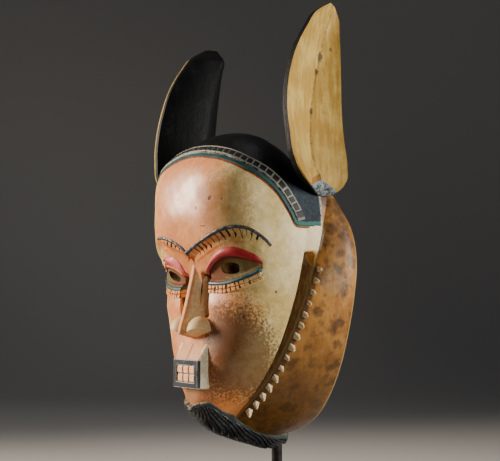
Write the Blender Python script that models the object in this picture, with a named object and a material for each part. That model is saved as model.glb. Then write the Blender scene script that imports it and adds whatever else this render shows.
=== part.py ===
"""A carved and painted wooden face mask with tall ears, held up by a steel rod on a foot.

The free form of the carving is given in carving units, of which the head is 281 tall, so one
unit is about a millimetre. In carving units x runs to the mask's own left, y runs backwards and
z runs up, and the point 0, 0, 0 lies inside the head at the level where the brows meet.
Everything that is made to a size of its own, such as a wall, a rod or a plate, is in metres.
"""

import math

import bmesh
import bpy
import numpy as np
from mathutils import Matrix

# The carving
HEAD_HEIGHT = 0.281
UNIT = HEAD_HEIGHT / 281
WALL = 0.016
RIM_WALL = 0.013
GROOVE_DEPTH = 0.015
PUPIL_WIDTH = 0.019
PUPIL_HEIGHT = 0.0102
EAR_THICKNESS = 0.0075
RIDGE_HEIGHT = 0.0018
SERRATION_PITCH = 0.010

# The stand
ROD_DIAMETER = 0.010
ROD_FROM_RIM = 0.007
CROSSBAR_LENGTH = 0.060
CROSSBAR_DIAMETER = 0.008
FOOT_WIDTH = 0.180
FOOT_DEPTH = 0.160
FOOT_THICKNESS = 0.008
FOOT_EDGE = 0.0012
ROD_RECESS = 0.001
ROD_SIDES = 24
LIFT = 0.060
CLEARANCE = 0.0003

# The mesh of the carving
FACE_COLUMNS = 27
FACE_ROWS = 36
COLLAR_ROWS = 3

# The head: half width, front and rear of its level slices, and how square each slice is
RIM_Y = 38.0
AXIS_Z = -14.0
CROWN_Z = 111.0
CHIN_Z = -165.0
BEARD_LOW_Z = -184.0
HEAD_HALF = [(-165, 4), (-158, 16), (-150, 26), (-140, 36), (-124, 49), (-100, 63), (-75, 73),
             (-45, 80), (-14, 83), (10, 84), (30, 83), (50, 80), (66, 75), (80, 67), (95, 52), (105, 32),
             (109.5, 14), (111, 2)]
HEAD_FRONT = [(-165, -20), (-158, -45), (-150, -60), (-140, -67), (-124, -69), (-95, -68), (-66, -67),
              (-40, -69), (-14, -73), (0, -77), (15, -81), (30, -84), (50, -84), (66, -81), (80, -75),
              (92, -66), (102, -53), (108, -39), (111, -24)]
HEAD_REAR = [(-165, 60), (30, 60), (45, 50), (56, 36), (70, 24), (85, 12), (98, -1), (107, -11), (111, -19)]
HEAD_SQUARENESS = [(-165, 2.0), (-140, 2.1), (-124, 2.6), (-100, 3.2), (-50, 3.5), (-14, 3.9), (10, 3.6),
                   (30, 3.2), (66, 2.7), (111, 2.1)]

# The rim of the hollow back, as half of its outline from the bottom to the top: x and z
RIM = [(0, -170), (28.4, -162), (50, -148), (65.5, -128), (79.4, -100), (88, -73), (95.4, -41), (98.6, -14),
       (96.6, 6), (88, 27), (75, 40), (55, 48), (28, 54), (0, 56)]

# The face's edge and the collar's front edge each lie in a plane that leans forward going down
EDGE_Y, EDGE_LEAN = -13.0, 0.172
COLLAR_Y, COLLAR_LEAN = 1.0, 0.27
COLLAR_STEP = 1.5
COLLAR_BULGE = 6.0
GROOVE_TOP = (-6.0, -1.0)
GROOVE_FACET = 14.0
WALL_RISE = 12.0
CHIN_EXTRA = 8.0
DOME = (20.0, 70.0)
COLLAR_DOME = (20, 60)
GROOVE_TAPER = 0.22

# Carved lines of the face as x and z: side 1 is the mask's own left and side -1 its own right
BROW = {1: [(0, -3), (8, 0.5), (16.3, 3.4), (32.3, 9), (45.2, 14), (54.1, 16.6), (61.2, 17.4), (67.1, 16.2),
            (72, 11.8), (75.1, 6.8), (77.2, 0.8)],
        -1: [(0, -3), (3.3, 0.8), (12.2, 6.3), (21.8, 10.1), (31.8, 12.3), (41, 12.4), (50, 10.6),
             (60, 6), (68, 0), (73, -6)]}
LID_TOP = {1: [(15.8, -24.5), (20, -16.4), (26, -10), (34.6, -4), (42.6, 0), (49.7, 1.8), (55.6, 1.8),
               (60.5, 0.4), (66.1, -2.4), (70.6, -6.2), (73, -11)],
           -1: [(13.8, -25), (16, -17.5), (19.7, -10.4), (27.1, -4.8), (37.7, -3), (48, -4), (58, -7),
                (66, -10), (72, -14)]}
LID_LOW = {1: [(15.8, -26), (18.5, -21.6), (25.1, -15.8), (33.2, -11.4), (41, -8.8), (48.2, -7.8), (54.8, -8),
               (60.6, -8.8), (66, -10.6), (73, -13.6)],
           -1: [(13.8, -28), (21.9, -23), (33.8, -17.6), (45, -14.6), (54.6, -13.6), (64, -14), (72, -16)]}
EYE_LOW = {1: [(17.5, -26.8), (32, -27.2), (45, -26.4), (53, -24.8), (61, -22), (72, -15.8)],
           -1: [(15.5, -30), (24, -30.6), (39, -29.8), (50, -27.6), (61, -24.4), (70, -20)]}
LOWER_RIDGE = {1: [(19, -29.6), (31.5, -30.3), (42.8, -29.8), (52.3, -28), (60.3, -25.2), (67.6, -21.6),
                   (72, -18.2)],
               -1: [(15.5, -33.2), (24.1, -34), (39, -33.2), (50, -31), (60, -28), (68, -24)]}
HAIRLINE = [(0, -73.3, 83.2), (18.5, -73.3, 81.8), (32.6, -72.1, 79.1), (43.4, -70.5, 76.6), (54.5, -67.6, 72.4),
            (63.5, -63.2, 67.5), (69, -57.6, 63.3), (72.9, -50.9, 58.6), (75.6, -43, 52.4), (77.6, -36, 45.7),
            (79, -30.4, 38.1), (80.3, -24.5, 29.3), (81.3, -21.1, 22.2)]
HAIR_BAND_WIDTH = 9.0
HAIR_BAND_HEIGHT = 1.8
# Where each pupil's middle is, how wide and how tall it is beside the sizes above, and its slant
PUPIL = {1: (43.8, -16.5, 1.0, 1.0, 0.0), -1: (39.0, -21.4, 1.2, 0.75, 0.30)}
PUPIL_REACH = (-90.0, -25.0)
PUPIL_SIDES = 12
LID_POINTS = 12

SOCKET_DEPTH = 5.0
BROW_WIDTH = 3.6
LOWER_RIDGE_WIDTH = 3.2
LID_HEIGHT = 3.2
EYE_DEPTH = 3.0

# The nose: how high each level is, where its ridge runs and half its width at the face
NOSE = [(1, -73.5, 4), (-5, -70, 6), (-11, -68.4, 8), (-21.5, -70, 11), (-33, -73, 12.6), (-44, -75.8, 13.6),
        (-57, -79.5, 14.5), (-68, -83, 15), (-73, -84, 15)]
NOSE_ROOT_Y = -56.0
NOSE_TIP_Z = -77.0
NOSE_RIDGE_HALF = 1.2
WING_HALF = 24.0
WING_Y = -66.0
WING_TOP_Z = -57.0
NOSE_LEVELS = 14

# The mouth: a block that stands out, with a raised bar around two rows of teeth
MOUTH_TOP_Z, MOUTH_LOW_Z = -97.0, -119.5
MOUTH_HALF = 17.0
MOUTH_FRONT_Y = -75.4
MOUTH_ROOT_FLARE = 9.5
MOUTH_ROOT_Y = -56.0
LIP_TOP = (-80.0, -66.0, 20.5)
MOUTH_BOTTOM = (-121.0, -72.0, 17.0)
FRAME_WIDTH = 4.9
FRAME_HEIGHT = 1.6
FRAME_OVERHANG = 1.1
FRAME_ROOT = 2.6
FRAME_EDGE = 0.5
TEETH_ACROSS = 3
TEETH_DOWN = 2
TOOTH_GAP = 1.0
TOOTH_HEIGHT = 1.0
TOOTH_ROOT = 2.0

# The ears: front edge, valley and rear edge going up, as z, x and y
EAR_FRONT = [(48, 84, 6), (53, 93, -10), (60, 101, -27), (73, 103, -38), (97, 102, -43), (122, 99, -43),
             (146, 97, -38.5), (172, 96.5, -29), (193, 96, -16), (209, 95, -3), (219, 93, 13)]
EAR_VALLEY = [(48, 84, 13), (53, 90, 7), (60, 92, 1), (73, 87, -2), (97, 83, -3), (122, 81.5, -1),
              (146, 81.5, 3), (172, 82.5, 9), (193, 84.5, 14), (209, 87.5, 18), (219, 90, 19)]
EAR_REAR = [(48, 84, 20), (53, 92, 24), (60, 98, 26), (73, 99.5, 26), (97, 98, 23.5), (122, 96, 23),
            (146, 94.5, 24), (172, 92.5, 25.5), (193, 90, 27), (209, 87.5, 28.5), (219, 88, 23)]
EAR_ROWS = 14

# The beard: a keel from the chin back to the rim, as y, its top and its underside and half width
BEARD = [(-72, -136, -140, 5), (-69, -134, -143.5, 12), (-64, -131.5, -149, 16.5), (-46, -139, -162, 20),
         (-28, -148.5, -169.5, 20.5), (-5, -157, -177, 18.5), (18, -165, -183.5, 14), (37.5, -169.5, -182, 9)]
BEARD_ROWS = 21
BEARD_SIDES = 9
BEARD_ROOT = 8.0
BEARD_ROOT_Y = -58.0
STRAND_SLOPE = 9.0
STRAND_DEPTH = 0.05
BEARD_FULLNESS = 0.8
BEARD_ROOT_SHARE = 0.8
NOTCH_TOP_Z = -140.0
NOTCH_PAST = 6.0

# The small wedges along the collar's front edge, from this far along it at the beard upwards
SERRATION_START = 38.0
SERRATION_END = math.radians(4)
SERRATION_FOOT = [(-3.6, -1.5, -3.0), (3.6, -1.5, -3.0), (3.6, 6.0, -3.0), (-3.6, 6.0, -3.0)]
SERRATION_TOP = [(-1.8, -1.5, 2.4), (1.8, -1.5, 2.4), (1.8, 3.5, 4.4), (-1.8, 3.5, 4.4)]


def curve(knots, place):
    """Read a smooth curve through (place, value) knots; past its ends the value stays."""
    knots = np.array(knots, float)
    at, value = knots[:, 0], knots[:, 1]
    slope = np.diff(value) / np.diff(at)
    tangent = np.empty(len(at))
    tangent[0], tangent[-1] = slope[0], slope[-1]
    span = np.diff(at)
    tangent[1:-1] = (slope[:-1] * span[1:] + slope[1:] * span[:-1]) / (span[:-1] + span[1:])
    place = np.clip(np.asarray(place, float), at[0], at[-1])
    i = np.clip(np.searchsorted(at, place, side="right") - 1, 0, len(at) - 2)
    t = (place - at[i]) / span[i]
    return ((2 * t**3 - 3 * t**2 + 1) * value[i] + (t**3 - 2 * t**2 + t) * span[i] * tangent[i]
            + (3 * t**2 - 2 * t**3) * value[i + 1] + (t**3 - t**2) * span[i] * tangent[i + 1])


def ramp(value, low, high):
    """Rise smoothly from 0 at low to 1 at high."""
    t = np.clip((value - low) / (high - low), 0, 1)
    return t * t * (3 - 2 * t)


def edge_y(z):
    return EDGE_Y + EDGE_LEAN * (z - AXIS_Z)


def collar_y(z):
    return COLLAR_Y + COLLAR_LEAN * (z - AXIS_Z)


def groove_share(z):
    """The groove runs below the temples: 1 there and 0 above."""
    return 1 - ramp(z, *GROOVE_TOP)


def groove_width(z):
    """How much of the gap the groove's floor takes: it starts at a point at the temple."""
    return np.clip((GROOVE_TOP[1] - z) / GROOVE_FACET, 0, 1)


def slice_sizes(z):
    """Half width, front, middle, rear and squareness of the head's level slice at z."""
    half = np.maximum(curve(HEAD_HALF, z), 0.01)
    front = curve(HEAD_FRONT, z)
    rear = curve(HEAD_REAR, z)
    dome = ramp(z, *DOME)
    middle = RIM_Y * (1 - dome) + dome * (front + rear) / 2
    return half, front, middle, rear, curve(HEAD_SQUARENESS, z)


def in_head(point):
    x, y, z = point[..., 0], point[..., 1], point[..., 2]
    half, front, middle, rear, square = slice_sizes(z)
    reach = np.where(y < middle, middle - front, np.maximum(rear - middle, 0.01))
    inside = (np.abs(x) / half) ** square + (np.abs(y - middle) / reach) ** square < 1
    return inside & (z < CROWN_Z) & (z > CHIN_Z)


def in_hollow(point):
    """The inside of the mask: the head less its wall, and less the groove where that runs."""
    x, y, z = point[..., 0], point[..., 1], point[..., 2]
    wall = WALL / UNIT
    half, front, middle, rear, square = slice_sizes(z)
    half = np.maximum(half - wall - groove_share(z - WALL_RISE) * GROOVE_DEPTH / UNIT, 0.01)
    front_wall = wall + SOCKET_DEPTH + EYE_DEPTH
    reach = np.where(y < middle, middle - front - front_wall, rear - wall - middle)
    inside = (np.abs(x) / half) ** square + (np.abs(y - middle) / np.maximum(reach, 0.01)) ** square < 1
    return inside & (z < CROWN_Z - wall) & (z > CHIN_Z + wall + CHIN_EXTRA)


CENTRE = np.array([0.0, RIM_Y, AXIS_Z])
SPREAD = np.array([97.0, 113.0, 150.0])


def ray(tilt, turn):
    """Unit directions from the middle of the rim: tilt from straight forward, turn around that axis."""
    way = np.stack([np.sin(tilt) * np.cos(turn), -np.cos(tilt), np.sin(tilt) * np.sin(turn)], -1) * SPREAD
    return way / np.linalg.norm(way, axis=-1, keepdims=True)


def leave(form, way):
    """Where rays from the middle of the rim leave a form, found by halving."""
    near = np.zeros(way.shape[:-1])
    far = np.full(way.shape[:-1], 260.0)
    for _ in range(30):
        mid = (near + far) / 2
        inside = form(CENTRE + way * mid[..., None])
        near = np.where(inside, mid, near)
        far = np.where(inside, far, mid)
    return CENTRE + way * ((near + far) / 2)[..., None]


def surface(form, tilt, turn):
    return leave(form, ray(tilt, turn))


def tilt_where(form, limit, turn):
    """The tilt at which a form's surface crosses the plane y = limit(z)."""
    low = np.full(turn.shape, 0.3)
    high = np.full(turn.shape, 1.56)
    for _ in range(22):
        mid = (low + high) / 2
        point = surface(form, mid, turn)
        before = point[..., 1] < limit(point[..., 2])
        low = np.where(before, mid, low)
        high = np.where(before, high, mid)
    return (low + high) / 2


def disc(columns, rows):
    """A grid of nodes laid over a disc: each node's radius and turn."""
    s, t = np.meshgrid(np.linspace(-1, 1, columns + 1), np.linspace(-1, 1, rows + 1))
    p = s * np.sqrt(1 - t * t / 2)
    q = t * np.sqrt(1 - s * s / 2)
    return np.hypot(p, q), np.arctan2(q, p)


def border(grid):
    """The nodes around a grid, anticlockwise from its lower left corner."""
    return np.concatenate([grid[0, :-1], grid[:-1, -1], grid[-1, :0:-1], grid[:0:-1, 0]])


def face_relief(point):
    """How far the eye sockets lie under the forehead, with the brow as their upper edge."""
    x, z = np.abs(point[..., 0]), point[..., 2]
    brow = np.where(point[..., 0] > 0, curve(BROW[1], x), curve(BROW[-1], x))
    under = ramp(brow - z, 0.0, 5.0)
    fade = ramp(z, -52, -26) * (1 - ramp(x, 62, 78))
    front = ramp(-point[..., 1], 20, 40)
    return -SOCKET_DEPTH * under * fade * front


def face_points(columns, rows):
    """The front of the head out to the face's edge."""
    radius, turn = disc(columns, rows)
    table = np.linspace(-math.pi, math.pi, 241)
    edge = tilt_where(in_head, edge_y, table)
    tilt = radius * np.interp(turn, table, edge)
    point = surface(in_head, tilt, turn)
    way = point - CENTRE
    way = way / np.linalg.norm(way, axis=-1, keepdims=True)
    return point + way * face_relief(point)[..., None], border(turn)


def rim_points(turn, inset=0.0):
    """The rim of the hollow back, in its plane."""
    knots = np.array(RIM, float)
    x = np.concatenate([knots[:, 0], -knots[-2::-1, 0]])
    z = np.concatenate([knots[:, 1], knots[-2::-1, 1]]) - AXIS_Z
    at = np.arctan2(z / SPREAD[2], x / SPREAD[0])
    at[len(knots):] = np.mod(at[len(knots):], 2 * math.pi)
    radius = np.hypot(x / SPREAD[0], z / SPREAD[2])
    turn = np.mod(turn + math.pi / 2, 2 * math.pi) - math.pi / 2
    r = curve(list(zip(at, radius)), turn)
    x, z = r * np.cos(turn) * SPREAD[0], r * np.sin(turn) * SPREAD[2]
    length = np.hypot(x, z)
    keep = 1 - inset / length
    return np.stack([x * keep, np.full(turn.shape, RIM_Y), AXIS_Z + z * keep], -1)


def outward(point):
    """Unit directions in the level of the rim's plane, square to the loop around the face."""
    way = np.stack([point[:, 0], 0 * point[:, 0], (point[:, 2] - AXIS_Z) * (SPREAD[0] / SPREAD[2]) ** 2], -1)
    return way / np.linalg.norm(way, axis=1, keepdims=True)


def collar_rings(turn, collar_rows):
    """The loops behind the face's edge: the groove, the collar and the rim."""
    tilt_edge = tilt_where(in_head, edge_y, turn)
    tilt_front = tilt_where(in_head, collar_y, turn)
    tilt_rim = tilt_where(in_head, lambda z: np.full(np.shape(z), RIM_Y - 0.01), turn)
    edge = surface(in_head, tilt_edge, turn)
    out = outward(edge)
    dome = ramp(np.sin(turn), *np.sin(np.radians(COLLAR_DOME)))[:, None]
    front = edge + out * COLLAR_STEP
    front[:, 1] = collar_y(front[:, 2])
    front = front * (1 - dome) + surface(in_head, tilt_front, turn) * dome
    cut = groove_share(edge[:, 2])[:, None]
    floor = edge + (front - edge) * groove_width(edge[:, 2])[:, None]
    taper = (floor[:, 1] - edge[:, 1])[:, None] * np.array([0, GROOVE_TAPER, 0])
    rows = []
    for share, wall, way in ((1 / 3, edge, taper), (2 / 3, floor, -taper)):
        smooth = surface(in_head, tilt_edge + (tilt_front - tilt_edge) * share, turn)
        smooth += out * (1 - dome) * COLLAR_STEP * share
        rows.append(smooth * (1 - cut) + (wall - out * GROOVE_DEPTH / UNIT + way) * cut)
    rows.append(front)
    rim = rim_points(turn)
    last = surface(in_head, tilt_rim, turn)
    for i in range(1, collar_rows + 1):
        s = i / collar_rows
        side = front + (rim - front) * s + out * COLLAR_BULGE * 4 * s * (1 - s)
        over = surface(in_head, tilt_front + (tilt_rim - tilt_front) * s, turn) + (rim - last) * s
        rows.append(side * (1 - dome) + over * dome)
    return rows


class Shell:
    """Collects points and faces of one closed body, in carving units."""

    def __init__(self):
        self.points = []
        self.faces = []

    def add(self, points):
        first = len(self.points)
        self.points.extend(np.reshape(points, (-1, 3)).tolist())
        return np.arange(first, len(self.points)).reshape(np.shape(points)[:-1])

    def sheet(self, grid):
        for a, b in zip(grid[:-1], grid[1:]):
            self.faces.extend((a[j], a[j + 1], b[j + 1], b[j]) for j in range(len(a) - 1))

    def band(self, a, b):
        count = len(a)
        self.faces.extend((a[j], a[(j + 1) % count], b[(j + 1) % count], b[j]) for j in range(count))

    def fan(self, ring, points):
        """Close a ring with triangles around its middle."""
        middle = self.add(np.mean(points, axis=0)[None])[0]
        count = len(ring)
        self.faces.extend((ring[j], ring[(j + 1) % count], middle) for j in range(count))

    def tube(self, rings):
        """A closed body through a row of closed rings, with a face over each end."""
        rings = [self.add(ring) for ring in rings]
        for a, b in zip(rings, rings[1:]):
            self.band(a, b)
        self.faces.append(tuple(rings[0][::-1]))
        self.faces.append(tuple(rings[-1]))

    def mesh(self, name, origin):
        """A mesh in metres, with its faces pointing out."""
        place = np.array(self.points) * UNIT + origin
        mesh = bpy.data.meshes.new(name)
        mesh.from_pydata(place.tolist(), [], [tuple(int(i) for i in face) for face in self.faces])
        work = bmesh.new()
        work.from_mesh(mesh)
        bmesh.ops.remove_doubles(work, verts=work.verts, dist=1e-6)
        bmesh.ops.recalc_face_normals(work, faces=work.faces)
        work.to_mesh(mesh)
        work.free()
        return mesh


def head_block():
    """The head and its collar as one closed block, cut flat at the rim."""
    shell = Shell()
    face, turn = face_points(FACE_COLUMNS, FACE_ROWS)
    grid = shell.add(face)
    shell.sheet(grid)
    last = border(grid)
    for points in collar_rings(turn, COLLAR_ROWS):
        ring = shell.add(points)
        shell.band(last, ring)
        last = ring
    shell.fan(last, points)
    return shell


def hollow_block():
    """What the carver takes out of the back."""
    shell = Shell()
    columns, rows = FACE_COLUMNS // 2, FACE_ROWS // 2
    radius, turn = disc(columns, rows)
    table = np.linspace(-math.pi, math.pi, 121)
    edge = tilt_where(in_hollow, edge_y, table)
    grid = shell.add(surface(in_hollow, radius * np.interp(turn, table, edge), turn))
    shell.sheet(grid)
    turn = border(turn)
    mouth = rim_points(turn, RIM_WALL / UNIT)
    past = mouth + np.array([0, NOTCH_PAST, 0])
    ring, beyond = shell.add(mouth), shell.add(past)
    shell.band(border(grid), ring)
    shell.band(ring, beyond)
    shell.fan(beyond, past)
    return shell


def carved(point, sink=0.0):
    """Bring points onto the carved head along the rays from the middle of the rim."""
    way = point - CENTRE
    way = way / np.linalg.norm(way, axis=-1, keepdims=True)
    bare = leave(in_head, way)
    return bare + way * (face_relief(bare) - sink)[..., None]


def face_at(x, z):
    """Points on the bare face seen straight from the front."""
    x, z = np.broadcast_arrays(np.asarray(x, float), np.asarray(z, float))
    half, front, middle, rear, square = slice_sizes(z)
    share = np.clip(1 - (np.abs(x) / half) ** square, 0, 1)
    return np.stack([x, middle - (middle - front) * share ** (1 / square), z], -1)


def along(knots, count):
    """Evenly spaced points on the bare face along a line of (x, z) or (x, y, z) knots."""
    knots = np.array(knots, float)
    if knots.shape[1] == 2:
        knots = face_at(knots[:, 0], knots[:, 1])
    length = np.concatenate([[0], np.cumsum(np.linalg.norm(np.diff(knots, axis=0), axis=1))])
    place = np.linspace(0, length[-1], count)
    return np.stack([curve(list(zip(length, knots[:, k])), place) for k in range(3)], -1)


def across(line):
    """Unit directions over the surface, square to a line on it."""
    way = line - CENTRE
    square = np.cross(np.gradient(line, axis=0), way)
    return square / np.linalg.norm(square, axis=1, keepdims=True)


def swept(line, shape, scale, side):
    """A body swept along a line on the face: its shape is (offset across, rise) pairs."""
    over = across(line)
    rings = []
    for offset, rise in shape:
        lift = np.where(rise > 0, rise * scale, rise)
        rings.append(carved(line + over * (offset * scale)[:, None], -lift))
    shell = Shell()
    shell.tube(np.swapaxes(np.array(rings), 0, 1) * np.array([side, 1, 1]))
    return shell


def ridge(knots, width, height, count, side, root=3.0):
    """A low rounded ridge along a carved line, tapering at its ends."""
    end = np.minimum(np.arange(count), np.arange(count)[::-1])
    shape = [(share * width, rise) for share, rise in
             ((-0.5, -root), (-0.5, 0), (-0.22, height), (0.22, height), (0.5, 0), (0.5, -root))]
    return swept(along(knots, count), shape, np.clip(end / 1.5, 0.35, 1), side)


def hair_band():
    """The raised band along the hairline, from temple to temple."""
    half = np.array(HAIRLINE, float)
    whole = np.concatenate([half[:0:-1] * (-1, 1, 1), half])
    h, w = HAIR_BAND_HEIGHT, HAIR_BAND_WIDTH
    shape = [(0, -3.0), (0, h * 0.7), (-0.12 * w, h), (-0.88 * w, h), (-w, h * 0.7), (-w, -3.0)]
    line = along(whole, 36)
    return swept(line, shape, np.ones(len(line)), 1)


def lid(side):
    """The raised upper lid, a crescent between two carved lines."""
    count = LID_POINTS
    top, low = along(LID_TOP[side], count), along(LID_LOW[side], count)
    bulge = LID_HEIGHT * np.sin(math.pi * (np.arange(count) + 0.6) / (count + 0.2))
    rings = []
    for share, rise in ((0, -4), (0, 0), (0.3, 0.9), (0.75, 1), (1, 0.6), (1, -6)):
        lift = rise * bulge if rise > 0 else np.full(count, float(rise))
        rings.append(carved(top + (low - top) * share, -lift))
    shell = Shell()
    shell.tube(np.swapaxes(np.array(rings), 0, 1) * np.array([side, 1, 1]))
    return shell


def eye_cut(side):
    """The almond that is cut back under the upper lid."""
    count = LID_POINTS
    top, low = along(LID_LOW[side], count)[1:-1], along(EYE_LOW[side], count)[1:-1]
    rings = []
    for share, sink in ((0.06, -9), (0.06, EYE_DEPTH), (0.7, EYE_DEPTH), (1, 0.5), (1, -9)):
        rings.append(carved(top + (low - top) * share, sink))
    shell = Shell()
    shell.tube(np.swapaxes(np.array(rings), 0, 1) * np.array([side, 1, 1]))
    return shell


def pupil_cut(side):
    """The hole that the wearer looks through."""
    shell = Shell()
    middle, level, wide, tall, slant = PUPIL[side]
    turn = 2 * math.pi * np.arange(PUPIL_SIDES) / PUPIL_SIDES
    x = wide * PUPIL_WIDTH / UNIT / 2 * np.cos(turn)
    z = level + tall * PUPIL_HEIGHT / UNIT / 2 * np.sin(turn) + slant * x
    shell.tube([np.stack([side * (middle + x), np.full(PUPIL_SIDES, y), z], -1) for y in PUPIL_REACH])
    return shell


def nose():
    """A narrow straight nose with flat sides and flared wings."""
    ridge_y = [(-knot[0], knot[1]) for knot in NOSE]
    half = [(-knot[0], knot[2]) for knot in NOSE]
    rings = []
    for z in np.linspace(NOSE[0][0], NOSE[-1][0], NOSE_LEVELS):
        y, w = float(curve(ridge_y, -z)), float(curve(half, -z))
        flare = float(ramp(-z, -WING_TOP_Z - 2, -WING_TOP_Z + 8))
        outer = w + (WING_HALF - w) * flare
        half_way, wing = (w * 0.62, y * 0.5 + WING_Y / 2, z), (outer, WING_Y - 2 * flare, z)
        right = [(NOSE_RIDGE_HALF, y, z), half_way, wing, (outer, NOSE_ROOT_Y, z)]
        rings.append([(-px, py, pz) for px, py, pz in right] + right[::-1])
    rings.append([(x * 0.7, min(y * 0.35 - 44, NOSE_ROOT_Y), NOSE_TIP_Z) for x, y, z in rings[-1]])
    shell = Shell()
    shell.tube(rings)
    return shell


def mouth_block():
    """The box of the mouth, from the slope of the upper lip down to the chin."""
    rings = []
    for z, front, half in (LIP_TOP, (MOUTH_TOP_Z, MOUTH_FRONT_Y, MOUTH_HALF),
                           (MOUTH_LOW_Z, MOUTH_FRONT_Y, MOUTH_HALF), MOUTH_BOTTOM):
        share = (MOUTH_ROOT_Y - front) / (MOUTH_ROOT_Y - MOUTH_FRONT_Y)
        right = [(half, front, z), (half + MOUTH_ROOT_FLARE * share, MOUTH_ROOT_Y, z)]
        rings.append([(-x, y, z) for x, y, z in right] + right[::-1])
    shell = Shell()
    shell.tube(rings)
    return shell


def box(low, high):
    x0, y0, z0 = low
    x1, y1, z1 = high
    shell = Shell()
    shell.tube([np.array([(x0, y0, z), (x1, y0, z), (x1, y1, z), (x0, y1, z)]) for z in (z0, z1)])
    return shell


def mouth_frame():
    """A raised bar that runs around the teeth."""
    middle = (MOUTH_TOP_Z + MOUTH_LOW_Z) / 2
    tall = (MOUTH_TOP_Z - MOUTH_LOW_Z) / 2 + FRAME_OVERHANG
    face, root = MOUTH_FRONT_Y - FRAME_HEIGHT, MOUTH_FRONT_Y + FRAME_ROOT
    edge = FRAME_EDGE
    shell = Shell()
    loops = []
    for inset, y in ((0, root), (0, face + edge), (edge, face), (FRAME_WIDTH - edge, face),
                     (FRAME_WIDTH, root)):
        half, rise = MOUTH_HALF + FRAME_OVERHANG - inset, tall - inset
        loops.append(shell.add(np.array([(-half, y, middle - rise), (half, y, middle - rise),
                                         (half, y, middle + rise), (-half, y, middle + rise)])))
    for a, b in zip(loops, loops[1:] + loops[:1]):
        shell.band(a, b)
    return shell


def teeth():
    """Square teeth in rows, with gaps between them."""
    w = FRAME_WIDTH + TOOTH_GAP
    left, right = -MOUTH_HALF + w, MOUTH_HALF - w
    top, low = MOUTH_TOP_Z - w, MOUTH_LOW_Z + w
    wide = (right - left - (TEETH_ACROSS - 1) * TOOTH_GAP) / TEETH_ACROSS
    tall = (top - low - (TEETH_DOWN - 1) * TOOTH_GAP) / TEETH_DOWN
    shells = []
    for i in range(TEETH_ACROSS):
        for j in range(TEETH_DOWN):
            x = left + i * (wide + TOOTH_GAP)
            z = low + j * (tall + TOOTH_GAP)
            low_corner = (x, MOUTH_FRONT_Y - TOOTH_HEIGHT, z)
            shells.append(box(low_corner, (x + wide, MOUTH_FRONT_Y + TOOTH_ROOT, z + tall)))
    return shells


def ear(side):
    """A tall cupped ear, open to the side, with a valley down its middle."""
    low, high = EAR_FRONT[0][0], EAR_FRONT[-1][0]
    thick = EAR_THICKNESS / UNIT
    rings = []
    for i in range(EAR_ROWS):
        share = i / (EAR_ROWS - 1)
        z = low + (high - low) * (share - 0.035 * math.sin(2 * math.pi * share))

        def read(knots):
            x = curve([(k[0], k[1]) for k in knots], z)
            y = curve([(k[0], k[2]) for k in knots], z)
            return np.array([float(x), float(y), z])

        front, valley, rear = read(EAR_FRONT), read(EAR_VALLEY), read(EAR_REAR)
        full = float(ramp(z, low - 2, low + 14) * (1 - ramp(z, high - 14, high + 3)))
        t = thick * (0.35 + 0.65 * full)
        inner = [front, front * 0.5 + valley * 0.5 + (-1.2 * full, 0, 0), valley,
                 rear * 0.55 + valley * 0.45 + (-1.5 * full, 0, 0), rear]
        outer = [rear + (-t * 0.9, 1.0, 0), rear * 0.5 + valley * 0.5 + (-t * 1.35, 2.2 * full, 0),
                 valley + (-t * 1.2, 0.5, 0), front * 0.5 + valley * 0.5 + (-t * 1.5, -2.5 * full, 0),
                 front + (-t * 0.9, -1.0, 0)]
        rings.append(np.array(inner + outer) * np.array([side, 1, 1]))
    shell = Shell()
    shell.tube(rings)
    return shell


def beard():
    """The keel of beard under the chin, ribbed with strands that slope down to the back."""
    table = np.array(BEARD, float)
    rings = []
    for k, y in enumerate(np.linspace(table[0, 0], table[-1, 0], BEARD_ROWS)):
        top, low, half = (float(curve(table[:, (0, column)], y)) for column in (1, 2, 3))
        slope = STRAND_SLOPE * math.sin(math.pi * k / (BEARD_ROWS - 1))
        groove = 1 - STRAND_DEPTH * (k % 2)
        ring = []
        for turn in np.linspace(0, math.pi, BEARD_SIDES):
            down = math.sin(turn) ** BEARD_FULLNESS if 0 < turn < math.pi else 0.0
            keep = 1 - (1 - groove) * ramp(down, 0.3, 0.6)
            x, z = half * math.cos(turn) * keep, top - (top - low) * down * keep
            ring.append((x, y + slope * (down - 0.5), z))
        share = (y - table[0, 0]) / (table[-1, 0] - table[0, 0])
        root = (BEARD_ROOT_Y + (table[-1, 0] - BEARD_ROOT_Y) * share, top + BEARD_ROOT)
        ring += [(-half * BEARD_ROOT_SHARE, *root), (half * BEARD_ROOT_SHARE, *root)]
        rings.append(ring)
    shell = Shell()
    shell.tube(rings)
    return shell


def serration():
    """Small wedges along the collar's front edge."""
    turn = np.linspace(-math.pi / 2, SERRATION_END, 400)
    line, back = collar_rings(turn, 4)[2:4]
    length = np.concatenate([[0], np.cumsum(np.linalg.norm(np.diff(line, axis=0), axis=1))])
    pitch = SERRATION_PITCH / UNIT
    shells = []
    out = outward(line)
    for k in range(int((length[-1] - SERRATION_START) / pitch)):
        i = int(np.searchsorted(length, SERRATION_START + k * pitch))
        tangent = line[i + 1] - line[i - 1]
        tangent = tangent / np.linalg.norm(tangent)
        rearward = back[i] - line[i]
        rearward = rearward / np.linalg.norm(rearward)
        rings = [np.array([line[i] + tangent * a + rearward * b + out[i] * c for a, b, c in corners])
                 for corners in (SERRATION_FOOT, SERRATION_TOP)]
        for side in (-1, 1):
            shell = Shell()
            shell.tube([ring * (side, 1, 1) for ring in rings])
            shells.append(shell)
    return shells


def joined(name, shells, origin):
    """One object of several closed bodies."""
    work = bmesh.new()
    for shell in shells:
        mesh = shell.mesh(name, origin)
        work.from_mesh(mesh)
        bpy.data.meshes.remove(mesh)
    mesh = bpy.data.meshes.new(name)
    work.to_mesh(mesh)
    work.free()
    piece = bpy.data.objects.new(name, mesh)
    bpy.context.collection.objects.link(piece)
    return piece


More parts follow.
